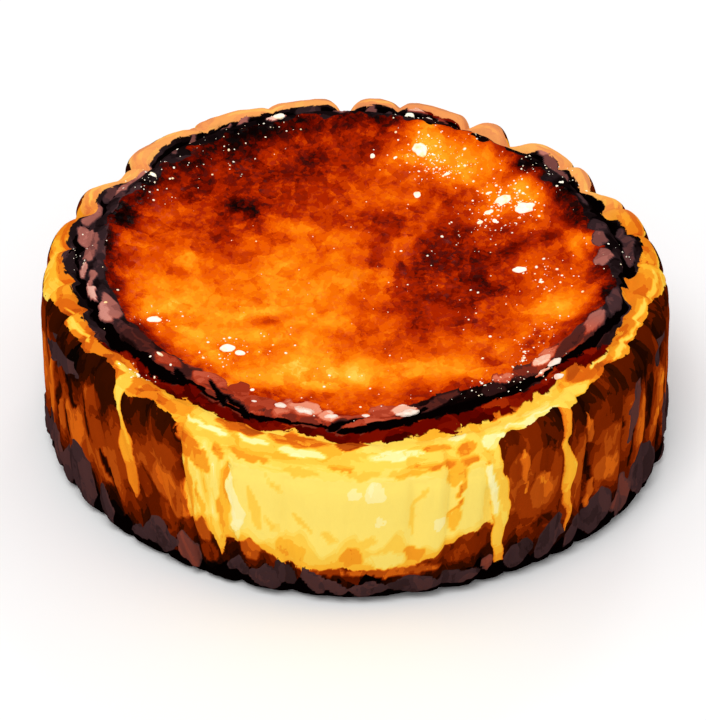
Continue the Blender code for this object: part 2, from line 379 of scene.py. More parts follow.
# %% Fold the wall
FOLD_SWELL = 0.0012
FOLD_DEPTH = 0.0016
FOLD_HALF_WIDTH = 0.0017
FOLD_FADES = 26.0                        # how often a fold fades, for each metre
FOLD_LEAN = 11.0                         # degrees from the lip to the base
FULL_PANEL = 13.0                        # degrees from fold to fold where a panel stands out in full
PANEL_TILT = 0.0011
FOLDS = (                                # direction, strength
    (-178.0, 1.5), (-163.0, 0.5), (-148.0, 0.9), (-130.0, 1.1), (-112.5, 1.1), (-97.0, 0.9),
    (-85.0, 0.8), (-75.0, 0.9), (-66.0, 0.8), (-57.5, 0.8), (-49.0, 1.0), (-41.5, 0.4),
    (-33.5, 0.8), (-22.0, 0.8), (-12.0, 0.3), (10.0, 0.3), (16.0, 0.4), (23.2, 1.0),
    (29.3, 0.7), (35.0, 0.4), (39.2, 0.9), (45.0, 0.9), (55.5, 0.9), (64.5, 0.8), (72.5, 0.7),
    (81.0, 0.7), (91.5, 1.0), (102.0, 0.8), (112.0, 1.1), (121.0, 0.5), (130.0, 0.9),
    (145.5, 1.1), (155.5, 0.9), (171.0, 0.7),
)
FOLD_DIRECTIONS = np.array([direction for direction, strength in FOLDS])
FOLD_STRENGTHS = [strength for direction, strength in FOLDS]


def smooth_step(low, high, value):
    """Rise smoothly from 0 at low to 1 at high."""
    share = min(1.0, max(0.0, (value - low) / (high - low)))
    return share * share * (3.0 - 2.0 * share)


def lean(direction):
    """Degrees that a fold at this direction turns towards the front on its way to the base."""
    return FOLD_LEAN * smooth_step(-25.0, -45.0, direction) * smooth_step(-160.0, -110.0, direction)


def between_folds(direction, height):
    """Return how far the panel between two folds stands out, and the bite of the nearest fold."""
    index = int(np.searchsorted(FOLD_DIRECTIONS, direction, side="right")) - 1
    following = (index + 1) % len(FOLDS)
    start = float(FOLD_DIRECTIONS[index])
    width = (float(FOLD_DIRECTIONS[following]) - start) % 360.0
    share = ((direction - start) % 360.0) / width
    full = min(1.0, width / FULL_PANEL)
    stand = FOLD_SWELL * full * (0.5 - abs(2.0 * share - 1.0) ** 3)
    tilt = noise.cell(Vector((start * 3.7, 0.5, 0.5)))
    edges = FOLD_STRENGTHS[index] * (1.0 - share) + FOLD_STRENGTHS[following] * share
    stand += PANEL_TILT * tilt * (share - 0.5) * min(1.0, edges)
    near = index if share < 0.5 else following
    away = math.radians(min(share, 1.0 - share) * width) * CAKE_RADIUS
    fade = 0.85 + 0.9 * noise.noise(Vector((near * 5.3, height * FOLD_FADES, 0.4)))
    return stand, FOLD_STRENGTHS[near] * fade * math.exp(-(away / FOLD_HALF_WIDTH) ** 2)


print(len(FOLDS), "folds")

# %% [markdown]
# ## The pale ridges
#
# Beside a few folds a thin cream ridge runs down, where the batter crept in behind the paper and was
# kept from the heat. Each is drawn as it hangs, with its direction, half width and tone at a few
# heights. Noise that is drawn out upwards, as stains run on a wall, makes its edges waver.

# %% Draw the pale ridges
STREAK_HEIGHT = 0.0006
STREAK_REACH = 12.0                      # degrees from a ridge where it is no longer looked for


def table(*rows):
    """Keep rows of a place and its value as two arrays, ready to be read between."""
    return np.array(rows).T


def read(rows, place):
    """Read a table at this place."""
    return float(np.interp(place, *rows))


STREAKS = (                              # rows of height, direction, half width (millimetres) and tone
    table((22, -42.5, 0, 0.5), (29, -43.0, 1.6, 0.44), (35, -43.6, 2.5, 0.45), (38, -44.2, 3.3, 0.40),
          (42, -44.8, 3.6, 0.37), (45, -45.3, 3.0, 0.36), (48, -46.4, 1.7, 0.32), (52, -47.4, 1.5, 0.24),
          (55, -48.5, 1.8, 0.22), (58, -49.2, 2.6, 0.22)),
    table((24, -20.9, 0, 0.2), (27, -20.9, 1.2, 0.1), (30, -20.9, 1.9, 0.0), (36, -20.2, 2.8, 0.0),
          (40, -20.9, 2.1, 0.0), (43, -21.5, 1.7, 0.0), (48, -21.6, 1.0, 0.05), (51, -22.2, 0, 0.1)),
    table((7, 25.5, 0, 0.45), (10, 25.7, 1.4, 0.42), (15, 26.1, 1.8, 0.38), (20, 25.3, 1.7, 0.30),
          (25, 25.2, 2.1, 0.26), (30, 25.4, 2.3, 0.24), (35, 25.5, 2.9, 0.24), (42, 24.9, 2.9, 0.26),
          (50, 24.1, 2.8, 0.26), (57, 23.6, 2.6, 0.20)),
    table((33, 24.6, 0, 0.1), (35, 24.5, 1.4, 0.06), (42, 24.1, 2.1, 0.0), (47, 23.8, 2.3, 0.0),
          (52, 23.2, 1.9, 0.0), (56, 23.0, 0, 0.0)),
    table((13, 39.0, 0, 0.52), (20, 39.9, 1.1, 0.46), (25, 39.8, 1.4, 0.42), (32, 38.5, 1.4, 0.38),
          (36, 39.3, 2.1, 0.32), (41, 40.1, 2.3, 0.31), (45, 39.2, 1.7, 0.34), (49, 38.4, 1.7, 0.34),
          (53, 39.0, 1.7, 0.42), (57, 40.5, 1.8, 0.42)),
    table((38, 30.0, 0, 0.5), (43, 30.1, 0.7, 0.5), (47, 30.0, 1.2, 0.5), (51, 29.8, 1.9, 0.5),
          (54, 29.6, 0, 0.5)),
    table((14, 44.4, 0, 0.56), (20, 44.7, 1.0, 0.55), (26, 44.9, 1.3, 0.55), (33, 45.4, 0, 0.56)),
    table((42, 44.9, 0, 0.56), (46, 45.0, 1.1, 0.54), (51, 44.7, 2.3, 0.52), (55, 44.4, 0, 0.56)),
    table((15, 93.5, 0, 0.45), (24, 92.7, 1.3, 0.40), (36, 92.6, 2.6, 0.34), (46, 91.6, 1.2, 0.36),
          (58, 91.5, 2.4, 0.40)),
    table((22, -106.5, 0, 0.5), (30, -108.6, 1.3, 0.45), (40, -109.0, 2.2, 0.38), (50, -111.6, 1.0, 0.42),
          (58, -112.5, 2.4, 0.42)),
    table((13, -147.0, 0, 0.5), (20, -147.6, 1.4, 0.42), (32, -146.8, 3.0, 0.32), (44, -148.2, 1.3, 0.30),
          (58, -148.0, 3.0, 0.34)),
    table((10, 143.6, 0, 0.5), (20, 144.4, 1.3, 0.44), (34, 144.0, 3.0, 0.34), (46, 145.4, 1.3, 0.32),
          (58, 145.5, 2.8, 0.34)),
)


def drawn_out(along, height, across_size, up_size, seed):
    """Noise that is drawn out upwards, as stains run on a wall."""
    return noise.noise(Vector((along / across_size, height / up_size, seed)))


def streak(turned, height):
    """Return how much of a pale ridge is here, 0 to 1, and its tone."""
    best, tone, up = 0.0, 0.3, height * 1000.0
    for number, (heights, middles, halves, tones) in enumerate(STREAKS):
        if abs(turned - middles[0]) > STREAK_REACH:
            continue
        half_width = float(np.interp(up, heights, halves))
        if half_width > 0.0:
            away = turned - float(np.interp(up, heights, middles))
            away += 0.6 * drawn_out(number, height, 0.3, 0.004, 0.2)
            here = math.exp(-((math.radians(away) * CAKE_RADIUS * 1000.0 / half_width) ** 4))
            if here > best:
                best, tone = here, float(np.interp(up, heights, tones))
    return best, tone


print(len(STREAKS), "pale ridges")

# %% [markdown]
# ## Broken plates
#
# Crust that has dried breaks into angular plates. Cells round scattered points make them, each with
# a height and a slope of its own. The cells are read on a plain tube, with the skin laid on it, so
# plates can be drawn out round the ring or up the wall and no seam shows.

# %% Break the crust into plates
RING_PLATE = (0.0115, 0.0065)            # size across and along the section
RING_PLATE_DEPTH = 0.0010
BASE_PLATE = (0.0095, 0.0150)
BASE_PLATE_DEPTH = 0.0010
BASE_PLATE_LEAN = 4.0                    # degrees
Plate = namedtuple("Plate", "lift gap pick middle")


def on_tube(direction, length):
    """Lay a point of the skin on a plain tube."""
    angle = math.radians(direction)
    return Vector((CAKE_RADIUS * math.sin(angle), -CAKE_RADIUS * math.cos(angle), length))


def push_about(place):
    """Three noises at one place, as a vector that moves it about."""
    return Vector((noise.noise(place), noise.noise(place + Vector((9.3, 1.5, 7.9))),
                   noise.noise(place + Vector((6.3, 0.2, 2.7)))))


def plates(tube, sizes, seed):
    """Return the plate here: its lift, the gap to the next, its own number and where its middle is."""
    across, along = sizes
    place = Vector((tube.x / across, tube.y / across, tube.z / along + seed))
    place += 0.35 * push_about(place * 1.7)
    nearest, centres = noise.voronoi(place)
    pick = noise.cell(centres[0] * 7.3)
    lift = 0.55 * pick + 2.2 * (place - centres[0]).dot(push_about(centres[0] * 5.1))
    return Plate(lift, nearest[1] - nearest[0], pick, (centres[0].z - seed) * along)


print("plates:", [size * 1000 for size in RING_PLATE], "and", [size * 1000 for size in BASE_PLATE], "mm")

# %% [markdown]
# ## How dark the wall is baked
#
# Colour mostly follows heat. One number says how dark a place is, from 0 for cream to 1 for charred,
# and a ramp of colours reads it later. Up the wall it goes from char at the base through rust brown to
# a dark band under the lip, which is partly painted shade. A few soft spots are darker or paler, the
# folds are painted darker as shade in the creases, and past the sides each panel has a tone of its own.

# %% Bake the panels of the wall
# The rise in darkness towards the top, under the lip, is partly painted shade.
PANEL_TOAST_AND_SHADE = table((0.000, 1.00), (0.006, 1.00), (0.010, 0.95), (0.016, 0.86), (0.021, 0.79),
                    (0.025, 0.71), (0.030, 0.64), (0.036, 0.63), (0.042, 0.68), (0.048, 0.75),
                    (0.053, 0.82), (0.060, 0.84))
WALL_PATCHES = (                         # direction, height (mm), two half sizes, hundredths darker
    (-67, 34, 8, 9, 3), (-66, 50, 8, 6, 14), (64, 36, 8, 9, 7), (62, 52, 9, 5, 10), (96, 36, 7, 10, -10),
    (128, 40, 6, 9, -12), (163, 34, 7, 10, -10), (-170, 40, 5, 10, -16), (-138, 36, 7, 9, -12),
    (-105, 38, 5, 10, -12), (31, 54, 5, 5, -10), (60, 46, 6, 10, -9), (-62, 54, 7, 5, 6),
)


def blotches(across, up, spots, turn=1000.0):
    """Add up soft spots, each with a middle, two half sizes and an amount."""
    total = 0.0
    for middle_x, middle_y, half_x, half_y, amount in spots:
        aside = (across - middle_x + turn / 2) % turn - turn / 2
        reach = (aside / half_x) ** 2 + ((up - middle_y) / half_y) ** 2
        if reach < 6.0:
            total += amount * math.exp(-reach)
    return total


def bake_and_shade_panels(direction, turned, height, spread, bite):
    """How dark the browned wall is, with painted shade in its folds, before its marks are painted."""
    # 0.08 * bite is painted shade: the wall is coloured darker in its folds.
    brown = read(PANEL_TOAST_AND_SHADE, spread) + 0.08 * bite
    brown += blotches(turned, height * 1000.0, WALL_PATCHES, 360.0) / 100.0
    panel = int(np.searchsorted(FOLD_DIRECTIONS, direction))
    own_tone = noise.cell(Vector((panel * 1.7, 0.5, 0.5)))
    return brown + 0.06 * own_tone * smooth_step(72.0, 78.0, abs(turned))


print(len(WALL_PATCHES), "soft spots on the wall")

# %% [markdown]
# ## Marks on the wall
#
# Where the paper pressed, it left flat marks with firm edges: tall slips of rust or gold. Among them
# are dark lines in the folds, which are painted shade, and dark spots under the lip, partly painted
# shade. A soft spot can't draw those. Each mark is a slanting shape between an ellipse and a box,
# painted over what is there, and the later ones lie on top.

# %% Paint the marks of the wall
# The thin dark marks, about a millimetre wide, are painted shade in the folds; the dark ones just under the
# lip are partly painted shade.
WALL_MARKS_AND_SHADE = (                          # direction, height, two half sizes, slant, tone (millimetres)
    (-72.8, 35, 2.0, 9.5, -0.05, 0.51), (-67.2, 32, 1.7, 6.5, 0, 0.55),
    (-61.8, 34, 2.9, 7.5, -0.15, 0.57), (-69.6, 34, 0.8, 9, -0.05, 0.84), (-64.6, 33, 0.6, 7, -0.1, 0.88),
    (67.0, 33, 1.5, 6, 0.10, 0.61), (64.8, 38, 0.9, 9.5, 0.15, 0.88), (73.8, 34, 1.0, 9, 0.15, 0.86),
    (-53.4, 37, 2.2, 6, -0.2, 0.70), (-55.5, 48.5, 3.0, 3.6, 0, 0.70),
    (-51.0, 28.5, 3.6, 6.5, -0.20, 0.64), (-34.2, 34, 3.4, 9, -0.25, 0.57),
    (-39.6, 29, 3.2, 9.5, -0.15, 0.77), (-36.0, 45, 3.0, 4.5, -0.20, 0.68),
    (-27.5, 24.5, 2.0, 5.5, 0, 0.58), (-18.5, 22, 2.0, 5, 0, 0.57), (-26.5, 15, 1.9, 5, 0, 0.76),
    (17.8, 20, 2.0, 3.2, 0, 0.73), (21.4, 23.5, 2.2, 5.5, 0, 0.70), (7.0, 16.2, 8.5, 2.6, 0, 0.57),
    (-4.5, 16.6, 3.0, 2.2, 0, 0.62), (28.8, 44, 2.4, 8, 0, 0.64), (27.5, 26, 2.2, 6, 0, 0.73),
    (33.5, 37, 2.6, 7, 0, 0.55), (34.0, 47, 2.8, 5, 0, 0.69), (41.8, 50, 1.8, 4.5, 0, 0.75),
    (43.0, 44, 1.6, 5, 0, 0.66), (48.8, 32, 3.6, 5, 0, 0.56), (50.5, 40, 4.0, 5.5, 0, 0.68),
    (50.0, 50, 4.5, 5, 0, 0.77), (60.3, 36, 2.5, 8.5, 0.12, 0.54), (70.0, 36, 2.7, 9, 0.10, 0.54),
    (43.5, 29, 2.0, 6, 0.10, 0.74), (34.0, 23.5, 2.5, 2.5, 0, 0.85), (-49.6, 25.5, 0.6, 8.5, -0.33, 0.97),
    (-64.5, 44, 0.8, 5, -0.6, 0.96), (-57.0, 40, 0.5, 7, -0.2, 0.86), (54.5, 43.5, 0.5, 4, 0, 0.93),
    (44.7, 34, 0.5, 8, 0, 0.90), (56.5, 30, 0.5, 7, 0.1, 0.90), (64.0, 46, 0.7, 6, 0.2, 0.94),
    (-37.8, 52, 1.1, 3.5, -0.4, 0.80),
)


def painted(tone, across, up, shapes, roundness=1.8):
    """Paint flat slanting shapes over a tone, and say how much they cover here."""
    cover = 0.0
    for middle_x, middle_y, half_x, half_y, slant, shade in shapes:
        aside = abs(across - middle_x - slant * (up - middle_y)) / half_x
        above = abs(up - middle_y) / half_y
        if aside < 1.2 and above < 1.2:
            here = smooth_step(1.14, 0.86, aside**roundness + above**roundness)
            tone += (shade - tone) * here
            cover = max(cover, here)
    return tone, cover


print(len(WALL_MARKS_AND_SHADE), "marks on the wall")

# %% [markdown]
# ## The pale patch
#
# At the front the browned skin came away with the paper and shows the pale cake under it, which is
# what catches the eye first. Its edge is kept as a distance, more than zero inside, and the material
# tears that edge with noise. Inside it is cream, golden near the edge, with streaks on the left and a
# few painted highlights.

# %% Tear the pale patch open
PATCH_LEFT = table((0.020, -31.2), (0.035, -31.0), (0.045, -31.7), (0.050, -32.0), (0.055, -34.0))
PATCH_RIGHT = 24.0
PATCH_SHIFT = 0.6                        # degrees that its marks lie further right than written
PATCH_FLOOR = table(                     # direction, height of its lower edge
    (-33, 0.0260), (-29.5, 0.0260), (-27.5, 0.0300), (-25.5, 0.0240), (-24, 0.0150), (-22.7, 0.0245),
    (-21, 0.0225), (-18.5, 0.0270), (-16, 0.0230), (-13.5, 0.0190), (-11, 0.0175), (-8, 0.0155),
    (-5, 0.0170), (-2.5, 0.0186), (-0.5, 0.0166), (2.5, 0.0180), (5, 0.0162), (7.5, 0.0184),
    (9.5, 0.0176), (12.5, 0.0202), (14.3, 0.0212), (15.8, 0.0250), (17.5, 0.0272), (19.5, 0.0290),
    (23, 0.0300),
)
# The palest marks here, of tone 0.06 and below, are painted highlights.
PATCH_MARKS_AND_HIGHLIGHTS = (                         # the same as the marks of the wall, for the pale patch
    (-32.5, 53, 3.2, 4.5, -0.3, 0.47), (-29.0, 51, 2.5, 5, -0.35, 0.42), (-31.0, 37, 0.8, 12, 0, 0.38),
    (-23.7, 38, 1.0, 13, 0.03, 0.33), (-18.1, 37, 0.9, 9, -0.08, 0.27), (-27.8, 50, 1.6, 2.5, -0.2, 0.40),
    (-23.1, 44, 0.6, 8, 0, 0.38), (-24.6, 30, 0.8, 9, 0, 0.36), (-28.8, 34, 0.6, 8, -0.1, 0.34),
    (-19.0, 55.5, 4.0, 1.6, 0, 0.40), (-25.0, 54.5, 1.0, 2.5, -0.2, 0.42),
    (-10.0, 53.5, 3.5, 1.4, 0, 0.26), (-3.0, 56, 2.4, 1.3, 0, 0.42), (0.5, 54.0, 3.5, 1.2, 0, 0.27),
    (8.5, 54.5, 3.4, 1.6, 0, 0.32), (12.0, 56, 2.5, 1.2, 0, 0.44), (17.5, 55.5, 3.0, 2.2, 0, 0.46),
    (16.6, 51.5, 1.9, 4, 0.1, 0.34), (17.5, 45.5, 0.5, 4, 0.15, 0.42), (16.6, 38.5, 0.5, 4, 0.3, 0.42),
    (16.6, 33.5, 1.2, 5, 0, 0.29), (22.3, 50, 0.5, 4.5, 0, 0.42), (10.3, 45.5, 0.5, 3.5, 0.35, 0.25),
    (9.4, 36, 0.6, 7, -0.04, 0.25), (2.6, 48, 2.0, 3.6, 0, 0.00), (-0.7, 48, 1.1, 2, 0, 0.02),
    (14.0, 33, 1.3, 3.2, 0, 0.02), (4.3, 36.5, 1.5, 2.6, 0, 0.06), (-1.2, 21.5, 2.2, 2.6, 0, 0.40),
    (9.5, 21.8, 2.0, 2.6, 0, 0.40), (4.6, 20.3, 3.7, 3.0, 0, 0.14), (-12.0, 22, 2.5, 3.5, -0.3, 0.34),
    (-14.5, 48, 0.6, 3.5, -0.35, 0.22), (-9.6, 34, 1.0, 3.5, -0.4, 0.24), (-15.0, 31, 1.1, 4, -0.3, 0.22),
    (-5.0, 29, 1.4, 3, -0.3, 0.23), (1.5, 27.5, 1.3, 2.5, 0.2, 0.24),
)


def way_into_patch(turned, height):
    """How far inside the torn edge of the pale patch a place is, less than zero outside."""
    along = math.radians(turned) * CAKE_RADIUS
    inside = min(math.radians(turned - read(PATCH_LEFT, height)) * CAKE_RADIUS,
                 math.radians(PATCH_RIGHT - turned) * CAKE_RADIUS, height - read(PATCH_FLOOR, turned))
    return inside + 0.0010 * drawn_out(along, height, 0.004, 0.008, 2.0)


def bake_patch(turned, height, spread, inside):
    """How dark the pale patch is, before its marks are painted."""
    along = math.radians(turned) * CAKE_RADIUS
    streaky = smooth_step(-21.0, -25.0, turned)
    cream = 0.195 - 0.09 * smooth_step(0.0005, 0.0050, inside) + 0.14 * smooth_step(0.031, 0.027, spread)
    cream += streaky * (0.06 + 0.25 * drawn_out(along + 0.15 * height, height, 0.0022, 0.016, 12.0))
    return cream + 0.08 * smooth_step(0.0510, 0.0560, height)


print(len(PATCH_MARKS_AND_HIGHLIGHTS), "marks in the pale patch")

# %% [markdown]
# ## Sagging
#
# A warm cake sags when the paper is peeled off: its marks slide down a few millimetres and spread a
# little, most of all low on the wall. The marks above are written as they were before, so each point
# of the wall asks where it was then. The pale patch is firmer and slides by its own amounts.

# %% Let the wall sag
SAG = table(                             # height, how far the marks there have sunk
    (0.003, 0.0018), (0.008, 0.0024), (0.014, 0.0028), (0.032, 0.0028), (0.038, 0.0020),
    (0.044, 0.0006), (0.048, 0.0))
PATCH_SAG = table(                       # the same for the pale patch
    (0.003, 0.0018), (0.008, 0.0024), (0.014, 0.0024), (0.020, 0.0012), (0.025, -0.0004),
    (0.030, 0.0), (0.036, 0.0006), (0.050, 0.0))
SAG_SPREAD = 9.0                         # share by which they have spread, for each metre sunk
LEFT_SAG = 0.0018                        # how much further the left side has sunk


def before_sagging(turned, height, sag=SAG):
    """Return the direction and height that a mark of the wall had before the warm cake sagged."""
    sunk = read(sag, height)
    turned_first = turned * (1.0 - SAG_SPREAD * sunk)
    on_left = smooth_step(-48.0, -60.0, turned) * smooth_step(-95.0, -78.0, turned)
    return turned_first, height + sunk + LEFT_SAG * on_left * smooth_step(0.046, 0.036, height)


def bake_and_shade_wall(direction, turned, height, bite):
    """Return how dark the browned wall is, how dark the pale patch is, with their painted shade and
    highlights, and the way into the patch.
    """
    patch_turned, patch_height = before_sagging(turned, height, PATCH_SAG)
    turned, height = before_sagging(turned, height)
    along = math.radians(turned) * CAKE_RADIUS
    torn = turned + 0.7 * drawn_out(along, height, 0.004, 0.006, 14.0)
    up = height * 1000.0 + 1.5 * drawn_out(along, height, 0.002, 0.008, 15.0)
    spread = height + 0.008 * drawn_out(along, height, 0.0042, 0.020, 12.5)
    inside = way_into_patch(turned, height)
    brown = painted(bake_and_shade_panels(direction, turned, height, spread, bite), torn, up, WALL_MARKS_AND_SHADE)[0]
    torn, up = torn + patch_turned - turned - PATCH_SHIFT, up + (patch_height - height) * 1000.0
    cream = painted(bake_patch(turned, height, spread, inside), torn, up, PATCH_MARKS_AND_HIGHLIGHTS)[0]
    return brown, cream, inside


print("sunk by up to", round(SAG[1].max() * 1000, 1), "mm")

# %% [markdown]
# ## Scales of char
#
# Low on the wall, and in a few places under the lip, the crust is burnt black and has split into dull
# scales, like bark. Those at the front and the sides are drawn one by one, because they are seen
# best. Round the back, broken plates stand in for them. The black cracks lie deeper than the scales,
# and the browned skin above has dried and shrunk, so it is lower than the ridges beside it.

# %% Add the scales and the wrinkles of the wall
WRINKLE_DEPTH = 0.0004
FINE_WRINKLE_DEPTH = 0.00025
SKIN_DROP = 0.0006                       # how much the browned skin has shrunk as it dried
DRAWN_SCALES_END = 74.0                  # degrees from the front
SCALES = (                               # the same as the marks of the wall, for the scales of char
    (-70.5, 15, 3.4, 8.4, 0, 0.47), (-65.5, 14, 2.0, 9.6, 0.05, 0.44), (-59.5, 17, 4.6, 12.6, -0.1, 0.42),
    (-51, 13.5, 2.2, 7.8, -0.1, 0.4), (-42, 10, 2.4, 3.0, 0, 0.42), (-37.5, 13, 3.9, 7.8, 0, 0.42),
    (-31.2, 13, 2.6, 7.8, -0.1, 0.61), (-20.8, 12.5, 2.1, 4.8, 0, 0.4), (-15.8, 10.5, 3.7, 6.0, 0, 0.42),
    (-12.3, 13.5, 1.7, 6.0, -0.2, 0.4), (-7.3, 11.5, 2.0, 6.6, -0.25, 0.5),
    (-3.6, 9, 2.4, 4.2, -0.2, 0.45), (2.3, 8.5, 3.7, 4.2, 0, 0.43), (10.3, 9.5, 5.1, 4.6, 0, 0.43),
    (18.5, 10, 4.4, 3.8, 0, 0.42), (24, 13, 0.9, 4.2, 0.1, 0.64), (29.8, 13.5, 2.9, 6.6, 0.15, 0.38),
    (36.2, 15, 2.7, 9.0, 0.15, 0.42), (41.5, 13.5, 1.5, 6.0, 0.2, 0.38), (47, 15.5, 4.4, 9.0, 0.1, 0.42),
    (54, 14, 2.7, 8.4, 0.05, 0.53), (57.5, 18, 1.2, 5.4, -0.1, 0.42), (61.5, 16.5, 5.5, 10.8, -0.1, 0.42),
    (-67.5, 50.2, 7.2, 4.6, 0, 0.43), (-72.5, 46, 4.9, 2.4, 0, 0.42), (58.4, 45, 1.5, 13, 0.24, 0.50),
    (72, 50.5, 4.2, 5.4, 0.5, 0.44),
)


def wall_point(distance, length, height, direction, turned, masks, tone):
    """Add the wall's relief to a point: scales, cracks, wrinkles and a thinner browned skin."""
    along = math.radians(turned) * CAKE_RADIUS
    low = smooth_step(0.024, 0.012, height) * smooth_step(0.0, 0.004, height)
    lean_in = BASE_PLATE_LEAN * math.sin(math.radians(direction)) * smooth_step(0.024, 0.0, height)
    burst = plates(on_tube(direction + lean_in, length), BASE_PLATE, 3.0)
    first_turned, first_height = before_sagging(turned, height)
    torn = first_turned + 0.9 * drawn_out(along, height, 0.0055, 0.0045, 16.0)
    up = first_height * 1000.0 + 1.8 * drawn_out(along, height, 0.0040, 0.0080, 17.0)
    scale, cover = painted(0.42 + 0.06 * burst.pick, torn, up, SCALES, 1.35)
    if abs(turned) > DRAWN_SCALES_END:
        middle_height = WALL_FOOT - burst.middle + 0.003 * burst.pick
        cover = max(cover, smooth_step(0.10, 0.22, burst.gap) * smooth_step(0.0190, 0.0180, middle_height))
    crack = smooth_step(0.0110, 0.0070, height + 0.006 * drawn_out(along, height, 0.005, 0.02, 18.0))
    crack = max(crack, smooth_step(0.026, 0.014, height) * smooth_step(0.02, 0.25, cover)) * (1.0 - cover)
    wrinkles = noise.noise(Vector((along * 180.0, height * 45.0, 5.0))) - 0.4
    fine = drawn_out(along, height, 0.0016, 0.012, 21.0) - 0.4
    distance += BASE_PLATE_DEPTH * (cover - 1.0) * low + WRINKLE_DEPTH * wrinkles
    below_lip = smooth_step(SHOULDER_HEIGHT, 0.048, height)
    distance += FINE_WRINKLE_DEPTH * fine
    distance -= SKIN_DROP * smooth_step(0.50, 0.80, tone) * (1.0 - low) * below_lip
    masks.update(plate=scale, crack=crack, char=cover)
    return distance


print(len(SCALES), "scales drawn one by one")

# %% [markdown]
# ## The lip
#
# Outside the ring the cake puffed up in a soft lip. It is cream at the front, golden at the sides and
# peach at the back, with marks like those of the wall, the palest of which are painted highlights. Its
# lower edge runs unevenly into the browned wall, and the folds of the wall run on over it, only
# shallower, and are painted darker as shade.

# %% Bake the lip
LIP_SWELL_DEPTH = 0.0007
LIP_END = table(                         # direction, share of the radius where the wall's crust begins
    (-180, 0.970), (-171, 0.955), (-162, 0.974), (-151, 0.950), (-146, 0.972), (-138, 0.958),
    (-129, 0.976), (-118, 0.956), (-110, 0.972), (-104, 0.975), (-93, 0.985), (-84, 0.985), (-78, 0.955),
    (-62, 0.955), (-59, 0.932), (-53, 0.922), (-50, 0.960), (-46, 0.962), (-42, 0.944), (-36, 0.945),
    (-32, 0.985), (23, 0.985), (25.5, 0.950), (28, 0.932), (31, 0.940), (39, 0.922), (41, 0.946),
    (46, 0.942), (49, 0.926), (56, 0.916), (61, 0.940), (69, 0.926), (72, 0.945), (77, 0.930),
    (82, 0.965), (90, 0.985), (99, 0.962), (108, 0.978), (118, 0.954), (130, 0.975), (142, 0.974),
    (147, 0.950), (157, 0.976), (168, 0.956), (180, 0.970),
)
LIP_TOAST = table(                       # direction, how dark the lip is
    (-180, 0.40), (-115, 0.38), (-100, 0.42), (-90, 0.38), (-80, 0.48), (-55, 0.50), (-50, 0.40),
    (-44, 0.46), (-36, 0.38), (-30, 0.26), (20, 0.24), (40, 0.24), (46, 0.38), (52, 0.48), (70, 0.43),
    (80, 0.40), (95, 0.42), (130, 0.36), (160, 0.46), (180, 0.56),
)
# The palest marks, of tone 0.05 and below, are painted highlights.
LIP_MARKS_AND_HIGHLIGHTS = (                           # direction, thousandths of the radius, two half sizes, slant, tone
    (-88, 965, 9, 14, 0, 0.33), (-96, 942, 9, 10, 0, 0.48), (-68, 935, 5, 9, 0, 0.24),
    (-73, 946, 4, 7, 0, 0.30), (-49, 945, 1.6, 40, 0, 0.22), (-51.5, 905, 3.5, 16, 0, 0.22),
    (-42, 938, 4, 8, 0, 0.50), (-38, 890, 5, 24, 0, 0.38), (-28.5, 941, 5.0, 10, 0.1, 0.00),
    (-18.5, 936, 3.0, 12, 0, 0.02), (-9.5, 944, 4.5, 13, 0, 0.01), (-22.5, 898, 5.2, 30, 0, 0.51),
    (-10.5, 900, 5.8, 30, 0, 0.45), (-0.8, 894, 3.4, 27, 0, 0.62), (8.0, 940, 5.5, 13, 0, 0.01),
    (14, 935, 3, 15, 0, 0.42), (19.5, 948, 1.8, 20, 0, 0.44), (18.5, 905, 2, 16, 0, 0.05),
    (25, 945, 2.4, 24, 0, 0.03), (34, 925, 6.5, 13, 0, 0.04), (36, 897, 4, 16, 0, 0.12),
    (30.5, 856, 3.8, 16, 0, 0.53), (45, 915, 3.5, 25, 0, 0.24), (50.5, 878, 4.2, 38, 0, 0.50),
    (57, 887, 3.5, 8, 0.15, 0.14), (63, 920, 5.5, 9, 0, 0.24), (73, 925, 6, 8, 0.2, 0.24),
    (66, 892, 4.5, 14, 0, 0.46), (84, 950, 5, 9, 0.3, 0.26), (-176, 950, 5, 22, 0, 0.70),
    (168, 945, 7, 14, 0.1, 0.66), (-148, 945, 3.5, 35, 0, 0.52), (150, 950, 4, 25, 0, 0.50),
    (118, 945, 6, 14, 0, 0.28), (-120, 940, 7, 12, 0, 0.26), (-160, 925, 6, 12, 0, 0.24),
    (-134, 955, 3, 16, 0, 0.56), (134, 925, 5, 12, 0, 0.52), (-170, 955, 6, 14, 0.1, 0.52),
    (-142, 950, 5, 12, 0.1, 0.28), (-113, 955, 5, 12, 0, 0.46), (141, 945, 4, 14, 0.1, 0.28),
    (160, 950, 5, 12, 0, 0.56), (108, 955, 5, 12, 0, 0.48), (125, 960, 4, 10, 0, 0.52),
    (176, 930, 5, 10, 0, 0.32),
)


def bake_and_shade_lip(tube, turned, torn, far, bite):
    """How dark the lip is baked, with painted shade in its folds and painted highlights among its marks."""
    # 0.06 * bite is painted shade: the lip is coloured darker in its folds.
    lip = read(LIP_TOAST, turned) + 0.10 * noise.noise(tube * 75.0) + 0.06 * bite
    return painted(lip, torn, far, LIP_MARKS_AND_HIGHLIGHTS)[0]


def lip_relief(tube, share, stand, bite, ridge, notched):
    """How far the lip is raised where folds, ridges and notches run over it."""
    on_lip = smooth_step(0.86, 0.92, share)
    run_over = 0.5 * stand - 0.4 * FOLD_DEPTH * bite + 0.5 * STREAK_HEIGHT * ridge
    return on_lip * (run_over - NOTCH_DROP * notched + LIP_SWELL_DEPTH * noise.noise(tube * 120.0))


print(len(LIP_MARKS_AND_HIGHLIGHTS), "marks on the lip")
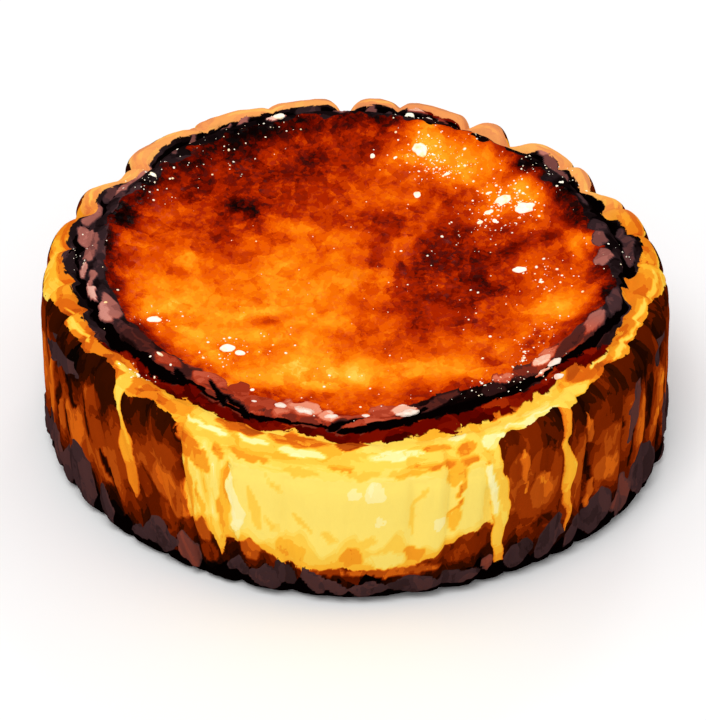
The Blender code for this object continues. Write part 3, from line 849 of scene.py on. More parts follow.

# %% [markdown]
# ## The caramelised top
#
# The middle of the top is coloured in soft patches from amber to mahogany, partly browning and partly
# painted light and shade: lighter in the middle and to the left, darker to the right.
# Each patch has a place, a size and an amount, darker or paler. Fractal noise gives the smaller
# mottling, and a slower noise moves the patches about, so that none looks round.

# %% Bake the top
TOP_BAKE = 0.53
TOP_MOTTLING = 0.13
TOP_SWELL_SIZE = 0.030
TOP_SWELL_DEPTH = 0.0007
TOP_CRUMB_SIZE, TOP_CRUMB_DEPTH = 0.0035, 0.00022
# Partly browning and partly painted light and shade: the top is lighter in the middle and to the left,
# darker to the right.
TOP_PATCHES_AND_LIGHT = (                          # across, away, two half sizes, darker by, all in hundredths
    (-34, -24, 36, 22, -26), (-12, 0, 30, 20, -12), (-62, 8, 13, 22, -10), (-10, -54, 34, 12, -34),
    (28, -50, 24, 9, -24), (62, -20, 12, 14, -26), (29, 62, 17, 13, -34), (50, 40, 12, 9, -30),
    (5, 24, 12, 10, -6), (31, 12, 18, 16, 24), (30, -16, 17, 16, 17), (16, -12, 9, 14, 10),
    (-30, 42, 12, 9, 22), (-16, 66, 34, 14, 18), (-46, 29, 17, 10, 12), (45, 20, 16, 11, 12),
    (-74, 10, 9, 30, 18), (-60, -38, 10, 10, 16), (-45, 52, 16, 12, 14), (68, 30, 10, 22, 14),
    (22, 73, 10, 6, -18), (30, 43.5, 8, 6.5, 15), (-62, 40, 9, 10, 12), (7, 26, 12, 7, 9),
    (-16, 24, 7, 6, -14), (-64, -12, 9, 14, -16), (45, -5, 8, 7, 16), (-30, -20, 6.5, 5, 25),
    (-46, -36, 8, 7, -18), (8, -30, 12, 10, 7), (16, -57, 10, 9, 18), (-15, -67, 10, 5, 17),
    (32, -58, 8, 8, 10), (-46, -50, 5.4, 5, 22), (30, 55, 5, 5, 12), (-45, 55, 9, 6, 8),
    (0, 38, 10, 6, 8), (62, 32, 8, 13, -15), (-14, 26, 8, 6, 9), (45, 24, 8, 6, -8),
    (-75.6, 9, 5.7, 9, -16), (1.2, 10, 8, 5.6, 14), (75.5, 10, 6, 9, -29), (-60.6, -5, 6, 5.6, 19),
    (45, -8, 8, 12, -11), (-60, -20, 6, 5, -9), (0, -20, 7, 5, -11), (30, -20, 7.6, 5.6, -16),
    (60, -35.6, 5.6, 5, 15), (45.6, -50, 7.4, 5, 20), (-46, -62.2, 6.2, 4.8, -47),
    (-30.3, -61.7, 6.8, 4, 29), (-30, 40, 8, 6, 9), (-60, 26, 7, 6, -10), (0, 25, 7, 5, 9),
    (60, 24, 7, 7, -9), (45, -35, 7, 5, -9), (-15, -50, 8, 5, -8), (0, -62, 8, 4, 8),
    (-62, -26, 5, 5, -12), (52, 3, 5, 5, -10), (58, 55, 9, 6, 26), (68, 42, 6, 8, 20), (50, 64, 6, 5, 14),
    (45, 55, 7, 6, 7), (15, 40, 8, 6, -7), (-45, 40, 7, 6, -6), (30, -35, 6, 5, -6),
)


def top_burn_and_light(x, y):
    """How dark the caramelised top is at this place, 0 for gold to 1 for black: browning and painted light
    and shade.
    """
    across, away = x / CAKE_RADIUS, y / CAKE_RADIUS
    wander = push_about(Vector((across * 4.0, away * 4.0, 1.7))) * 0.09
    across, away = across + wander.x, away + wander.y
    burn = TOP_BAKE + blotches(across * 100.0, away * 100.0, TOP_PATCHES_AND_LIGHT) / 100.0
    return burn + TOP_MOTTLING * noise.fractal(Vector((across * 9.0, away * 9.0, 3.1)), 0.9, 2.0, 4)


def top_relief(x, y, outer):
    """How far the top is raised: a slow swell in its middle, and crumbs all over."""
    wave = 1.4 * noise.noise(Vector((x, y, 0.02)) / TOP_SWELL_SIZE)
    wave += 0.4 * noise.noise(Vector((x, y, 0.07)) * 3.1 / TOP_SWELL_SIZE)
    crumbs = noise.fractal(Vector((x, y, 0.3)) / TOP_CRUMB_SIZE, 1.0, 2.0, 3)
    return TOP_SWELL_DEPTH * wave * (1.0 - outer) + TOP_CRUMB_DEPTH * crumbs


print(len(TOP_PATCHES_AND_LIGHT), "patches on the top")

# %% [markdown]
# ## The burnt ring
#
# Round the top runs a ring of crust that rose first and burnt most: broken plates, some matt black
# and some greyish or pinkish, where a sheen is painted on the crust. It is wider at the front than at
# the back, and its edges are ragged. Its width comes from two tables, and a number that goes from 0 at
# its inner edge to 1 at its outer edge says how far across it a point lies. Beyond its middle runs a
# black band. The plates that show best are drawn one by one, and the palest of them are painted
# highlights. At the front and in a stretch at the back right they are ruddy, as if seen through syrup.

# %% Bake the ring
BACK_RAGGEDNESS = 0.050
BLACK_LIMIT = 1.5
RING_INNER = table(                      # direction, share of the radius where the ring begins
    (-180, 0.806), (-150, 0.802), (-125, 0.815), (-105, 0.812), (-85, 0.800), (-72, 0.775), (-60, 0.775),
    (-48, 0.745), (-40, 0.730), (-34, 0.735), (-26, 0.760), (0, 0.770), (8, 0.740), (14, 0.700),
    (20, 0.675), (27, 0.680), (33, 0.700), (38, 0.720), (45, 0.710), (55, 0.725), (62, 0.760),
    (70, 0.800), (80, 0.830), (90, 0.800), (125, 0.800), (150, 0.835), (168, 0.815), (180, 0.806),
)
RING_OUTER = table(                      # direction, share of the radius where the lip begins
    (-180, 0.905), (-163, 0.902), (-150, 0.892), (-140, 0.906), (-130, 0.890), (-120, 0.908),
    (-105, 0.930), (-90, 0.932), (-83, 0.915), (-79, 0.885), (-74, 0.900), (-68, 0.915), (-62, 0.900),
    (-54, 0.876), (-47, 0.890), (-42, 0.885), (-36, 0.862), (-30, 0.874), (-20, 0.874), (-8, 0.865),
    (-2, 0.880), (5, 0.870), (18, 0.860), (40, 0.860), (49, 0.842), (54, 0.868), (60, 0.882), (68, 0.872),
    (76, 0.888), (78.5, 0.852), (80.5, 0.846), (82.5, 0.876), (84.5, 0.852), (87, 0.900), (97, 0.925),
    (107, 0.905), (110, 0.850), (112.5, 0.895), (122, 0.912), (136, 0.905), (141, 0.868), (144, 0.880),
    (150, 0.878), (158, 0.900), (170, 0.905), (180, 0.905),
)
BLACK_START = table(                     # direction, how far across the ring the black begins
    (-180, 0.60), (-140, 0.62), (-110, 0.58), (-60, 0.55), (-45, 0.58), (-32, 0.72), (-20, 0.70),
    (-5, 0.66), (5, 0.60), (14, 0.58), (18, 0.40), (28, 0.45), (38, 0.45), (48, 0.60), (62, 0.60),
    (85, 0.50), (180, 0.60),
)
BLACK_END = table(                       # the same for where it ends
    (-180, 0.88), (-100, 0.88), (-85, 0.80), (-45, 0.85), (-32, 0.86), (-20, 0.82), (-5, 0.82), (5, 0.82),
    (20, 0.80), (36, 0.78), (48, 0.88), (62, 0.85), (90, 0.88), (180, 0.88),
)
RING_TONE = table(                       # direction, tone of the crust between the plates
    (-180, 0.15), (-150, 0.11), (-132, 0.30), (-105, 0.36), (-80, 0.30), (-55, 0.34), (-40, 0.46),
    (-30, 0.60), (-10, 0.66), (5, 0.62), (13, 0.42), (17, 0.12), (34, 0.12), (40, 0.45), (50, 0.52),
    (60, 0.42), (75, 0.36), (90, 0.30), (110, 0.13), (135, 0.13), (180, 0.15),
)
# The palest plates, of tone 0.9 and above, are painted highlights, and the grey and pink of the others is
# partly painted sheen.
RING_PLATES_AND_HIGHLIGHTS = (                          # direction, thousandths of the radius, two half sizes, slant, tone
    (-86, 815, 4, 22, 0, 0.40), (-78, 815, 2.6, 22, 0, 0.36), (-61, 815, 5.5, 22, 0, 0.44),
    (-55, 800, 3.5, 30, 0, 0.40), (-72, 812, 5.5, 32, 0, 0.72), (-70.5, 840, 4, 18, 0, 0.85),
    (-79.5, 850, 4.2, 13, 0, 0.96), (-88.5, 862, 2.6, 12, 0, 0.90), (-84, 842, 3.0, 16, 0, 0.74),
    (-92.5, 850, 2.4, 16, -0.1, 0.72), (-99.5, 870, 3.8, 34, -0.07, 0.76),
    (-96, 838, 4.5, 16, -0.1, 0.64), (-89, 905, 7, 19, 0, 0.30), (-103, 920, 5, 14, 0, 0.28),
    (-68, 888, 6.5, 15, 0, 0.36), (-47.5, 787, 4.2, 40, 0, 0.62), (-40.5, 775, 3, 45, 0, 0.40),
    (-35.5, 762, 4.5, 55, 0, 0.70), (-28, 740, 3, 55, 0.02, 0.60), (-21, 780, 4.5, 48, 0, 0.64),
    (-15.5, 765, 2.4, 65, 0, 0.76), (-11, 755, 4, 60, 0, 0.86), (-5.5, 790, 2.4, 38, 0, 0.92),
    (0, 795, 1.8, 42, -0.04, 0.66), (6.5, 735, 3.6, 55, 0, 0.70), (10.8, 745, 2.6, 45, 0, 0.97),
    (17.5, 738, 2.8, 50, -0.05, 0.46), (22, 702, 3.5, 30, -0.05, 0.44), (32.5, 757, 3, 45, 0, 0.32),
    (37, 715, 2.6, 40, 0, 0.76), (43.5, 745, 2.4, 50, 0, 0.50), (43.5, 808, 2.6, 10, -0.1, 0.95),
    (53, 745, 3.5, 30, 0, 0.78), (48.5, 745, 2.8, 26, 0, 0.98), (57.5, 778, 7.5, 30, 0, 0.44),
    (66, 808, 5, 30, 0, 0.72), (75, 838, 4.5, 26, 0, 0.50), (61, 867, 5, 12, 0, 0.32),
    (92, 795, 3, 35, 0, 0.70), (99, 800, 3.5, 30, 0, 0.60), (104, 815, 3, 35, 0, 0.42),
    (97, 885, 7, 22, 0.1, 0.52), (131, 880, 3.5, 40, 0.08, 0.60), (-178, 870, 2.5, 60, 0, 0.66),
    (-126.5, 876, 4.5, 34, -0.08, 0.80), (-121.5, 874, 3.5, 34, -0.08, 0.74),
    (-117, 888, 3.0, 18, -0.1, 0.50), (-108.5, 902, 4.5, 24, -0.1, 0.72),
    (-162.5, 838, 2.2, 24, -0.02, 1.00), (-170, 880, 3, 34, -0.02, 0.40),
    (-156, 875, 1.2, 28, -0.06, 0.74), (-151.5, 870, 0.8, 26, -0.06, 0.64),
    (-144, 885, 1.0, 26, -0.08, 0.62), (-137, 850, 1.4, 20, -0.08, 0.60), (-177.5, 858, 2.4, 50, 0, 0.68),
    (115, 832, 3.4, 12, 0.1, 0.44), (128.5, 872, 3.6, 34, 0.08, 0.60), (136, 905, 1.8, 14, 0.0, 0.84),
    (155, 858, 1.1, 32, 0.06, 0.72), (160.5, 870, 1.3, 30, 0.04, 0.56), (166, 905, 3.2, 12, 0, 0.96),
    (172, 862, 2.0, 34, 0.02, 0.40), (176.5, 880, 1.2, 34, 0, 0.62), (-31, 806, 1.7, 44, 0.09, 0.02),
    (-25, 834, 1.4, 28, 0.15, 0.02), (-1.6, 814, 1.7, 38, -0.09, 0.02), (14.0, 775, 1.3, 45, -0.06, 0.02),
    (-40.5, 826, 1.6, 26, 0.10, 0.04),
)


def ruddiness(turned):
    """How ruddy the ring is in this direction."""
    at_back = smooth_step(141.0, 147.0, turned) * smooth_step(172.0, 164.0, turned)
    return max(smooth_step(70.0, 58.0, abs(turned)), 0.8 * at_back)


def bake_ring_and_highlights(tube, turned, share, torn, far):
    """Return the masks of the ring at this place, painted highlights among its plates, and how far its
    crust is raised.
    """
    inner, outer_edge = read(RING_INNER, turned), read(RING_OUTER, turned)
    drift = 0.010 * noise.noise(tube * 95.0) + 0.005 * noise.noise(tube * 320.0)
    at_back = smooth_step(0.86, 0.82, share) * smooth_step(100.0, 125.0, abs(turned))
    drift += BACK_RAGGEDNESS * noise.noise(tube * 190.0) * at_back
    rim = (share + drift - inner) / (outer_edge - inner)
    crust = plates(tube, RING_PLATE, 1.0)
    tone, cover = painted(read(RING_TONE, turned) + 0.08 * crust.pick, torn, far, RING_PLATES_AND_HIGHLIGHTS, 1.5)
    black = 10.0 * min(rim - read(BLACK_START, turned), read(BLACK_END, turned) - rim)
    black = max(-BLACK_LIMIT, min(BLACK_LIMIT, black)) * (1.0 - cover)
    black += (BLACK_LIMIT if tone < 0.2 else -BLACK_LIMIT) * cover
    on_ring = max(smooth_step(inner - 0.02, inner + 0.03, share), cover) * smooth_step(0.93, 0.88, share)
    lift = 0.45 * crust.lift + 0.9 * (tone - 0.5) - 0.35 * smooth_step(-0.5, 0.5, black) - 0.15
    masks = {"rim": max(rim, 0.5 * cover - 0.25), "plate": tone, "char": cover, "black": black}
    return masks, RING_PLATE_DEPTH * on_ring * lift


print(len(RING_PLATES_AND_HIGHLIGHTS), "plates drawn one by one")

# %% [markdown]
# ## Put each point in its place
#
# One function turns the two numbers of a point into its place on the cake. It also says how that
# point is baked, as a handful of numbers that the mesh carries to the material. They are called
# masks here, because each tells the material where something shows.

# %% Place one point of the skin
MASKS = ("brown", "cream", "patch", "ridge", "streak", "burn", "rim", "wall", "plate", "crack", "ruddy",
         "back", "char", "black")
ON_THE_WALL, PAST_THE_RING = 3.0, 2.0    # masks "wall" and "rim" of a point of the wall


def top_point(place, tube, turned, share, outer, folds, masks):
    """Finish a point of the top, the ring or the lip: raise it and fill in its masks."""
    x, y, height = place
    stand, bite, ridge, notched = folds
    torn = turned + 1.2 * noise.noise(tube * 210.0)
    far = (share + 0.010 * noise.noise(tube * 230.0 + Vector((5.0, 0.0, 0.0)))) * 1000.0
    ring_masks, ring_lift = bake_ring_and_highlights(tube, turned, share, torn, far)
    height += top_relief(x, y, outer) + ring_lift + lip_relief(tube, share, stand, bite, ridge, notched)
    inner, ruddy = read(RING_INNER, turned), ruddiness(turned)
    burn = top_burn_and_light(x, y) + (0.30 - 0.20 * ruddy) * smooth_step(inner - 0.09, inner, share)
    cream, lip = masks["cream"], bake_and_shade_lip(tube, turned, torn, far, bite)
    masks.update(ring_masks, burn=burn, ruddy=ruddy, back=smooth_step(104.0, 122.0, abs(turned)),
                 cream=cream + (lip - cream) * smooth_step(0.980, 0.962, share),
                 wall=max(-2.0, (share - read(LIP_END, turned)) / 0.010))
    return (x, y, height), masks


def cake_point(length, direction):
    """Return the place of a point of the skin and its masks."""
    distance = float(np.interp(length, LENGTHS, DISTANCES))
    height = float(np.interp(length, LENGTHS, HEIGHTS))
    on_wall = length > SHOULDER_LENGTH
    share = distance / CAKE_RADIUS
    outer = 1.0 if on_wall else smooth_step(0.80, 0.95, share)
    turned = direction + lean(direction) * max(0.0, 1.0 - height / LIP_HEIGHT) * outer
    angle = math.radians(turned)
    blend = min(1.0, height / OUTLINE_BLEND)
    stretch = blend * outline(TOP_OUTLINE, turned) + (1.0 - blend) * outline(BASE_OUTLINE, turned)
    stand, bite = between_folds(direction, height)
    ridge, streak_tone = streak(*before_sagging(turned, height))
    notched = notch(turned) * blend**2
    upright = 0.6 + 0.4 * smooth_step(0.020, 0.052, height)
    push = stand - FOLD_DEPTH * bite * upright * (1.0 - ridge) + STREAK_HEIGHT * ridge - notched
    distance = distance * stretch + push * outer
    brown, cream, inside = bake_and_shade_wall(direction, turned, height, bite)
    masks = dict.fromkeys(MASKS, 0.0)
    masks.update(brown=brown, cream=cream, patch=inside * 1000.0, ridge=ridge, streak=streak_tone,
                 wall=ON_THE_WALL, rim=PAST_THE_RING)
    if not on_wall:
        place = (distance * math.sin(angle), -distance * math.cos(angle), height)
        folds = (stand, bite, ridge, notched)
        return top_point(place, on_tube(direction, length), turned, share, outer, folds, masks)
    tone = cream if inside > 0.0 else brown
    distance = wall_point(distance, length, height, direction, turned, masks, tone)
    height -= NOTCH_DROP * notched * smooth_step(0.040, SHOULDER_HEIGHT, height)
    return (distance * math.sin(angle), -distance * math.cos(angle), height), masks


print("middle of the top:", [round(v * 1000, 1) for v in cake_point(0.0, 0.0)[0]], "mm")

# %% [markdown]
# ## A round grid
#
# A turned profile would crowd its cells at the middle of the top and starve the wall. A square grid,
# pressed round, keeps them even. Its outer columns are pulled onto the folds, so that a fold has a
# line of points along its bottom and makes a crisp crease.

# %% Press a square grid round
TOP_CELLS = 100
COLUMNS = TOP_CELLS * 8                  # each cell along the four sides of the grid carries two


def square_to_round(x, y):
    """Return the ring (0 to 1) and the direction in degrees of a point of a square of half side 1."""
    ring = max(abs(x), abs(y))
    if ring < 1e-9:
        return 0.0, 0.0
    if abs(y) >= abs(x):
        turn = 45.0 * x / abs(y)
        return ring, turn if y < 0 else 180.0 - turn
    turn = 45.0 * y / abs(x)
    return ring, 90.0 + turn if x > 0 else -90.0 - turn


def column_direction(even):
    """Pull an evenly spread column of the mesh onto the nearest fold."""
    step = 360.0 / COLUMNS
    columns = np.round(FOLD_DIRECTIONS / step) * step
    return even + float(np.interp(even, columns, FOLD_DIRECTIONS - columns, period=360.0))


print(COLUMNS, "columns of cells")

# %% [markdown]
# ## Rows round the cake
#
# The edge of the grid is extruded through the ring, over the lip, down the wall and in under the
# base, one row at a time, so every column of cells follows one fold. While it grows, a point only
# keeps its two numbers, and its place is found once all rows are there.

# %% Grow rows of cells from an edge
RING_ROWS, WALL_ROWS = 60, 49
BASE_SHARES = (0.80, 0.40)               # how wide the rows under the base are


def open_edge(items):
    """The edges among these items that have a face on one side only."""
    return [item for item in items if isinstance(item, bmesh.types.BMEdge) and item.is_boundary]


def grow_rows(bm, edge, length_of, start, end, rows):
    """Extrude an open edge row by row, spreading the rows evenly along the section."""
    for row in range(1, rows + 1):
        grown = bmesh.ops.extrude_edge_only(bm, edges=edge)["geom"]
        for vertex in grown:
            if isinstance(vertex, bmesh.types.BMVert):
                vertex[length_of] = start + (end - start) * row / rows
        edge = open_edge(grown)
    return edge


def close_base(bm, edge):
    """Bring the last row down to the floor and fill the base, with a few rows towards its middle."""
    for item in edge:
        for vertex in item.verts:
            vertex.co.z = 0.0
    for share in BASE_SHARES:
        grown = bmesh.ops.extrude_edge_only(bm, edges=edge)["geom"]
        inner = [item for item in grown if isinstance(item, bmesh.types.BMVert)]
        widest = max(vertex.co.length for vertex in inner)
        bmesh.ops.scale(bm, verts=inner, vec=(share * CAKE_RADIUS / widest,) * 2 + (1.0,))
        edge = open_edge(grown)
    bmesh.ops.contextual_create(bm, geom=edge)


print(RING_ROWS + WALL_ROWS, "rows of cells round the grid")

# %% [markdown]
# ## The skin
#
# Now the grid, the rows and the rules for one point come together. The masks, and the plain tube
# that patterns run along, are kept in layers of the mesh. A tree of its faces is kept as well, to
# find places for the sugar.

# %% Build the skin of the cake
def build_skin():
    """Make the skin's mesh with its masks, and a tree to find places on it."""
    bm = bmesh.new()
    bmesh.ops.create_grid(bm, x_segments=TOP_CELLS, y_segments=TOP_CELLS, size=1.0)
    bmesh.ops.subdivide_edges(bm, edges=open_edge(bm.edges), cuts=1)
    length_of = bm.verts.layers.float.new("length")
    direction_of = bm.verts.layers.float.new("direction")
    mask_layers = {name: bm.verts.layers.float.new(name) for name in MASKS}
    tube_of = bm.verts.layers.float_vector.new("tube")
    foot = length_at(RING_FOOT)
    for vertex in bm.verts:
        ring, even = square_to_round(vertex.co.x, vertex.co.y)
        vertex[length_of] = foot * ring
        vertex[direction_of] = even + (column_direction(even) - even) * ring**2
    edge = grow_rows(bm, open_edge(bm.edges), length_of, foot, SHOULDER_LENGTH, RING_ROWS)
    edge = grow_rows(bm, edge, length_of, SHOULDER_LENGTH, float(LENGTHS[-1]), WALL_ROWS)

    for vertex in bm.verts:
        direction = (vertex[direction_of] + 180.0) % 360.0 - 180.0
        vertex.co, masks = cake_point(vertex[length_of], direction)
        vertex[tube_of] = on_tube(direction, vertex[length_of])
        for name, layer in mask_layers.items():
            vertex[layer] = masks[name]
    close_base(bm, edge)
    bmesh.ops.recalc_face_normals(bm, faces=bm.faces)
    tree = BVHTree.FromBMesh(bm)
    mesh = bpy.data.meshes.new("cake_skin")
    bm.to_mesh(mesh)
    bm.free()
    mesh.shade_smooth()
    return mesh, tree


skin_mesh, skin_tree = build_skin()
cake = bpy.data.objects.new("cake_skin", skin_mesh)
bpy.context.scene.collection.objects.link(cake)
print("skin:", len(skin_mesh.vertices), "points")

# %% [markdown]
# ## Flakes and patterns
#
# Before a mask is turned into colour, it is broken up by cells and fine noise, so that the colours
# change in ragged flakes as a baked surface does. The cells of a Voronoi texture have straight
# edges, so its place is first pushed about by noise. Some patterns are stretched: up the wall, along
# the lip, or away over the top. The mesh carries its masks, and the plain tube, as attributes.

# %% Make the patterns
def flakes(place, size, wild=0.7):
    """Break a place into flakes of this size with ragged edges: a number for each, -0.5 to 0.5."""
    shift = {0: place.grain(size * 0.5, 3.0, 0.65, 1), 1: (size * wild,) * 3, 2: place}
    ragged = place.node("ShaderNodeVectorMath", {"operation": "MULTIPLY_ADD"}, shift)
    cells = place.node("ShaderNodeTexVoronoi", {"feature": "F1"},
                       {"Vector": ragged, "Scale": 1.0 / size}, output=1)
    return cells.node("ShaderNodeSeparateColor", None, {"Color": cells}) - 0.5


def attribute(place, name, output=2):
    """Read a number that the mesh carries, or a vector from output 1."""
    return place.node("ShaderNodeAttribute", {"attribute_name": name}, output=output)


def skin_patterns(place, tube):
    """Return the noises and the flakes that break up the masks, from -0.5 to 0.5."""
    deep = place.stretched(1.0, 0.6, 1.0)
    return SimpleNamespace(
        fine=deep.grain(0.0016, 4.0, 0.6) - 0.5,
        broad=deep.grain(0.0070, 4.0, 0.6) - 0.5,
        jags=tube.stretched(1.0, 1.0, 0.28).grain(0.0022, 2.0, 0.55) - 0.5,
        facets=flakes(tube.stretched(1.0, 1.0, 0.50), 0.0065, 0.40),
        touches=flakes(tube.stretched(1.0, 1.0, 0.45), 0.0032),
        bands=flakes(tube.stretched(0.45, 0.45, 1.1), 0.0034),
        shards=flakes(tube.stretched(0.7, 0.7, 1.0), 0.0052, 0.4),
        swaths=flakes(place.stretched(0.8, 0.75, 1.0), 0.0068, 0.5),
        daubs=flakes(deep, 0.0040),
        dabs=flakes(deep, 0.0021),
        specks=flakes(place, 0.0014))


print("the mesh carries", len(MASKS), "masks")

# %% [markdown]
# ## The colours of the wall
#
# One ramp goes from cream through gold and rust to black, as cheesecake browns. The panels, the pale
# patch and the pale ridges all read it. The scales of char have a ramp of their own: burnt crust is
# greyer than baked crust, and their greyish and pinkish tones are partly painted sheen.

# %% Colour the wall
WALL_COLOURS = (
    (0.00, (255, 243, 172)), (0.10, (254, 226, 110)), (0.22, (254, 212, 80)), (0.32, (253, 184, 48)),
    (0.41, (243, 146, 30)), (0.50, (222, 104, 18)), (0.57, (188, 82, 16)), (0.64, (160, 58, 7)),
    (0.71, (132, 40, 2)), (0.79, (94, 24, 0)), (0.88, (46, 12, 1)), (1.00, (8, 3, 2)),
)
# Char, with a greyish and pinkish painted sheen in its upper stops.
CHAR_AND_SHEEN_COLOURS = (
    (0.00, (3, 1, 1)), (0.25, (26, 11, 8)), (0.36, (46, 29, 29)), (0.44, (64, 42, 43)),
    (0.52, (86, 50, 46)), (0.62, (124, 58, 44)), (1.00, (160, 84, 64)),
)
BLACK_CRUST = srgb(4, 1, 1)


def wall_colour(mask, pattern):
    """Colour the wall: browned panels, the pale patch, the pale ridges, and char low down."""
    fine, touches, jags = pattern.fine, pattern.touches, pattern.jags
    into_patch = (mask.patch + jags * 2.5 + touches * 1.5).between(-0.6, 0.6)
    brown = mask.brown + pattern.facets * 0.12 + touches * 0.05 + jags * 0.05 + fine * 0.02
    cream = mask.cream + touches * 0.04 + jags * 0.03 + fine * 0.015
    toast = (brown * (1.0 - into_patch) + cream * into_patch).stepped(0.07)
    on_ridge = mask.ridge + fine * 0.35 + touches * 0.25
    ridge_tone = (1.0 - on_ridge).between(0.2, 0.8) * 0.20 + mask.streak + touches * 0.06
    shown = on_ridge.between(0.36, 0.44)
    toast = toast * (1.0 - shown) + ridge_tone.stepped(0.06) * shown
    in_crack = (mask.crack + fine * 0.5 + jags * 0.4).between(0.47, 0.57)
    char = (mask.plate + pattern.facets * 0.09 + touches * 0.04 + fine * 0.03).stepped(0.05)
    wall = toast.ramp(WALL_COLOURS).shade(BLACK_CRUST, in_crack)
    return wall.shade(char.ramp(CHAR_AND_SHEEN_COLOURS), (mask.char + fine * 0.3).between(0.46, 0.54))


print(len(WALL_COLOURS), "colours from cream to char")

# %% [markdown]
# ## The colours of the top
#
# Caramel goes from gold through orange to mahogany, and it has more red in it than the wall. The
# plates of the ring have two ramps, one greyish and one ruddy, and their pale ends are painted sheen
# and painted highlights on the dark crust. Outside the plates a band of dark red syrup shows, and then
# the lip. It reads the wall's ramp, and is tinted peach at the back, where it is duller and pinker
# than at the front.

# %% Colour the top, the ring and the lip
TOP_COLOURS = (
    (0.00, (255, 206, 80)), (0.16, (255, 166, 30)), (0.34, (250, 120, 6)), (0.48, (226, 78, 0)),
    (0.62, (172, 36, 0)), (0.76, (108, 12, 0)), (0.90, (40, 5, 2)), (1.00, (8, 2, 2)),
)
# Dark crust, and from the greyish stops up a painted sheen and painted highlights.
PLATE_AND_SHEEN_COLOURS = (
    (0.00, (3, 1, 2)), (0.20, (22, 12, 13)), (0.36, (42, 28, 30)), (0.44, (62, 41, 44)),
    (0.55, (98, 58, 56)), (0.70, (156, 90, 80)), (0.86, (202, 128, 114)), (1.00, (246, 196, 176)),
)
# Ruddy crust, and in its palest stops painted highlights.
RUDDY_PLATE_AND_HIGHLIGHT_COLOURS = (
    (0.00, (3, 1, 1)), (0.20, (26, 9, 8)), (0.36, (52, 24, 23)), (0.48, (92, 38, 30)),
    (0.60, (160, 50, 26)), (0.72, (192, 76, 48)), (0.86, (236, 134, 100)), (1.00, (254, 212, 184)),
)
SYRUP_COLOURS = ((0.0, (60, 2, 0)), (0.4, (100, 6, 0)), (0.7, (128, 18, 2)), (1.0, (176, 50, 6)))
PEACH = srgb(250, 172, 112)
PEACH_SHARE = 0.58


def top_colour(mask, pattern):
    """Colour the caramelised middle of the top, its painted light and shade included."""
    burn = mask.burn + pattern.swaths * 0.13 + pattern.daubs * 0.10 + pattern.dabs * 0.06
    burn = burn + pattern.broad * 0.12 + pattern.fine * 0.05
    burn = burn + pattern.specks * (mask.burn.between(0.50, 0.80) * 0.12 + 0.03)
    return burn.stepped(0.06).ramp(TOP_COLOURS)


def ring_colour(mask, pattern):
    """Colour the plates of the ring, with their painted sheen and highlights, and the black crust between
    them.
    """
    fine, shards = pattern.fine, pattern.shards
    tone = mask.plate + shards * (0.24 - mask.char * 0.17) + pattern.touches * 0.04 + fine * 0.05
    tone = tone.stepped(0.07)
    plate = tone.ramp(PLATE_AND_SHEEN_COLOURS).shade(tone.ramp(RUDDY_PLATE_AND_HIGHLIGHT_COLOURS), mask.ruddy)
    return plate.shade(BLACK_CRUST, (mask.black + shards * 0.8 + fine * 0.4).between(-0.12, 0.12))


def syrup_colour(pattern):
    """Colour the band of syrup between the ring and the lip."""
    return (pattern.bands * 0.55 + pattern.shards * 0.45 + 0.45).stepped(0.16).ramp(SYRUP_COLOURS)


def lip_colour(mask, pattern):
    """Colour the lip."""
    lip = (mask.cream + pattern.bands * 0.10 + pattern.fine * 0.02).stepped(0.06)
    return lip.ramp(WALL_COLOURS).shade(PEACH, mask.back * PEACH_SHARE)


print(len(TOP_COLOURS), "colours from gold to black")

# %% [markdown]
# ## The finish of the skin
#
# The colours are laid over each other from the middle outwards: top, ring, syrup, lip and wall, each
# from where a mask passes a limit. Caramel looks wet and crust looks dull. So the plain shine is
# off, and a thin clear coat lies on the top alone, where its flecks catch the light. A bump adds the
# finest grain, which is too small for the mesh.

# %% Finish the skin
COAT, COAT_ROUGHNESS = 0.05, 0.22
BUMP_STRENGTH, BUMP_DEPTH = 0.4, 0.0005


def finish_skin():
    """Make the material of the skin."""
    material, shader, place = new_material("baked_skin")
    mask = SimpleNamespace(**{name: attribute(place, name) for name in MASKS})
    pattern = skin_patterns(place, attribute(place, "tube", 1))
    fine, touches, bands = pattern.fine, pattern.touches, pattern.bands

    rim = mask.rim + touches * 0.07 + pattern.shards * 0.07 + fine * 0.04
    skin = top_colour(mask, pattern).shade(ring_colour(mask, pattern), rim.between(0.00, 0.04))
    skin = skin.shade(syrup_colour(pattern), (rim + mask.ruddy * 0.5).between(1.29, 1.33))
    skin = skin.shade(lip_colour(mask, pattern), (rim + bands * 0.08).between(0.985, 1.015))
    on_wall = (mask.wall + pattern.jags + touches * 0.5).between(0.45, 0.55)
    wire(shader.inputs["Base Color"], skin.shade(wall_colour(mask, pattern), on_wall))

    wire(shader.inputs["Roughness"], fine * 0.25 + 0.6)
    wire(shader.inputs["Coat Weight"], rim.between(0.20, -0.10) * pattern.specks.between(0.0, 0.3) * COAT)
    shader.inputs["Coat Roughness"].default_value = COAT_ROUGHNESS
    shader.inputs["Specular IOR Level"].default_value = 0.0
    relief = fine * 0.5 + pattern.broad * 0.5 + touches * 0.5 + pattern.daubs * 0.3
    bump = {"Height": relief, "Strength": BUMP_STRENGTH, "Distance": BUMP_DEPTH}
    wire(shader.inputs["Normal"], relief.node("ShaderNodeBump", None, bump))
    return material


skin_mesh.materials.append(finish_skin())
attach(cake, "root")
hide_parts("cheesecake")
print("skin:", len(skin_mesh.materials[0].node_tree.nodes), "nodes")
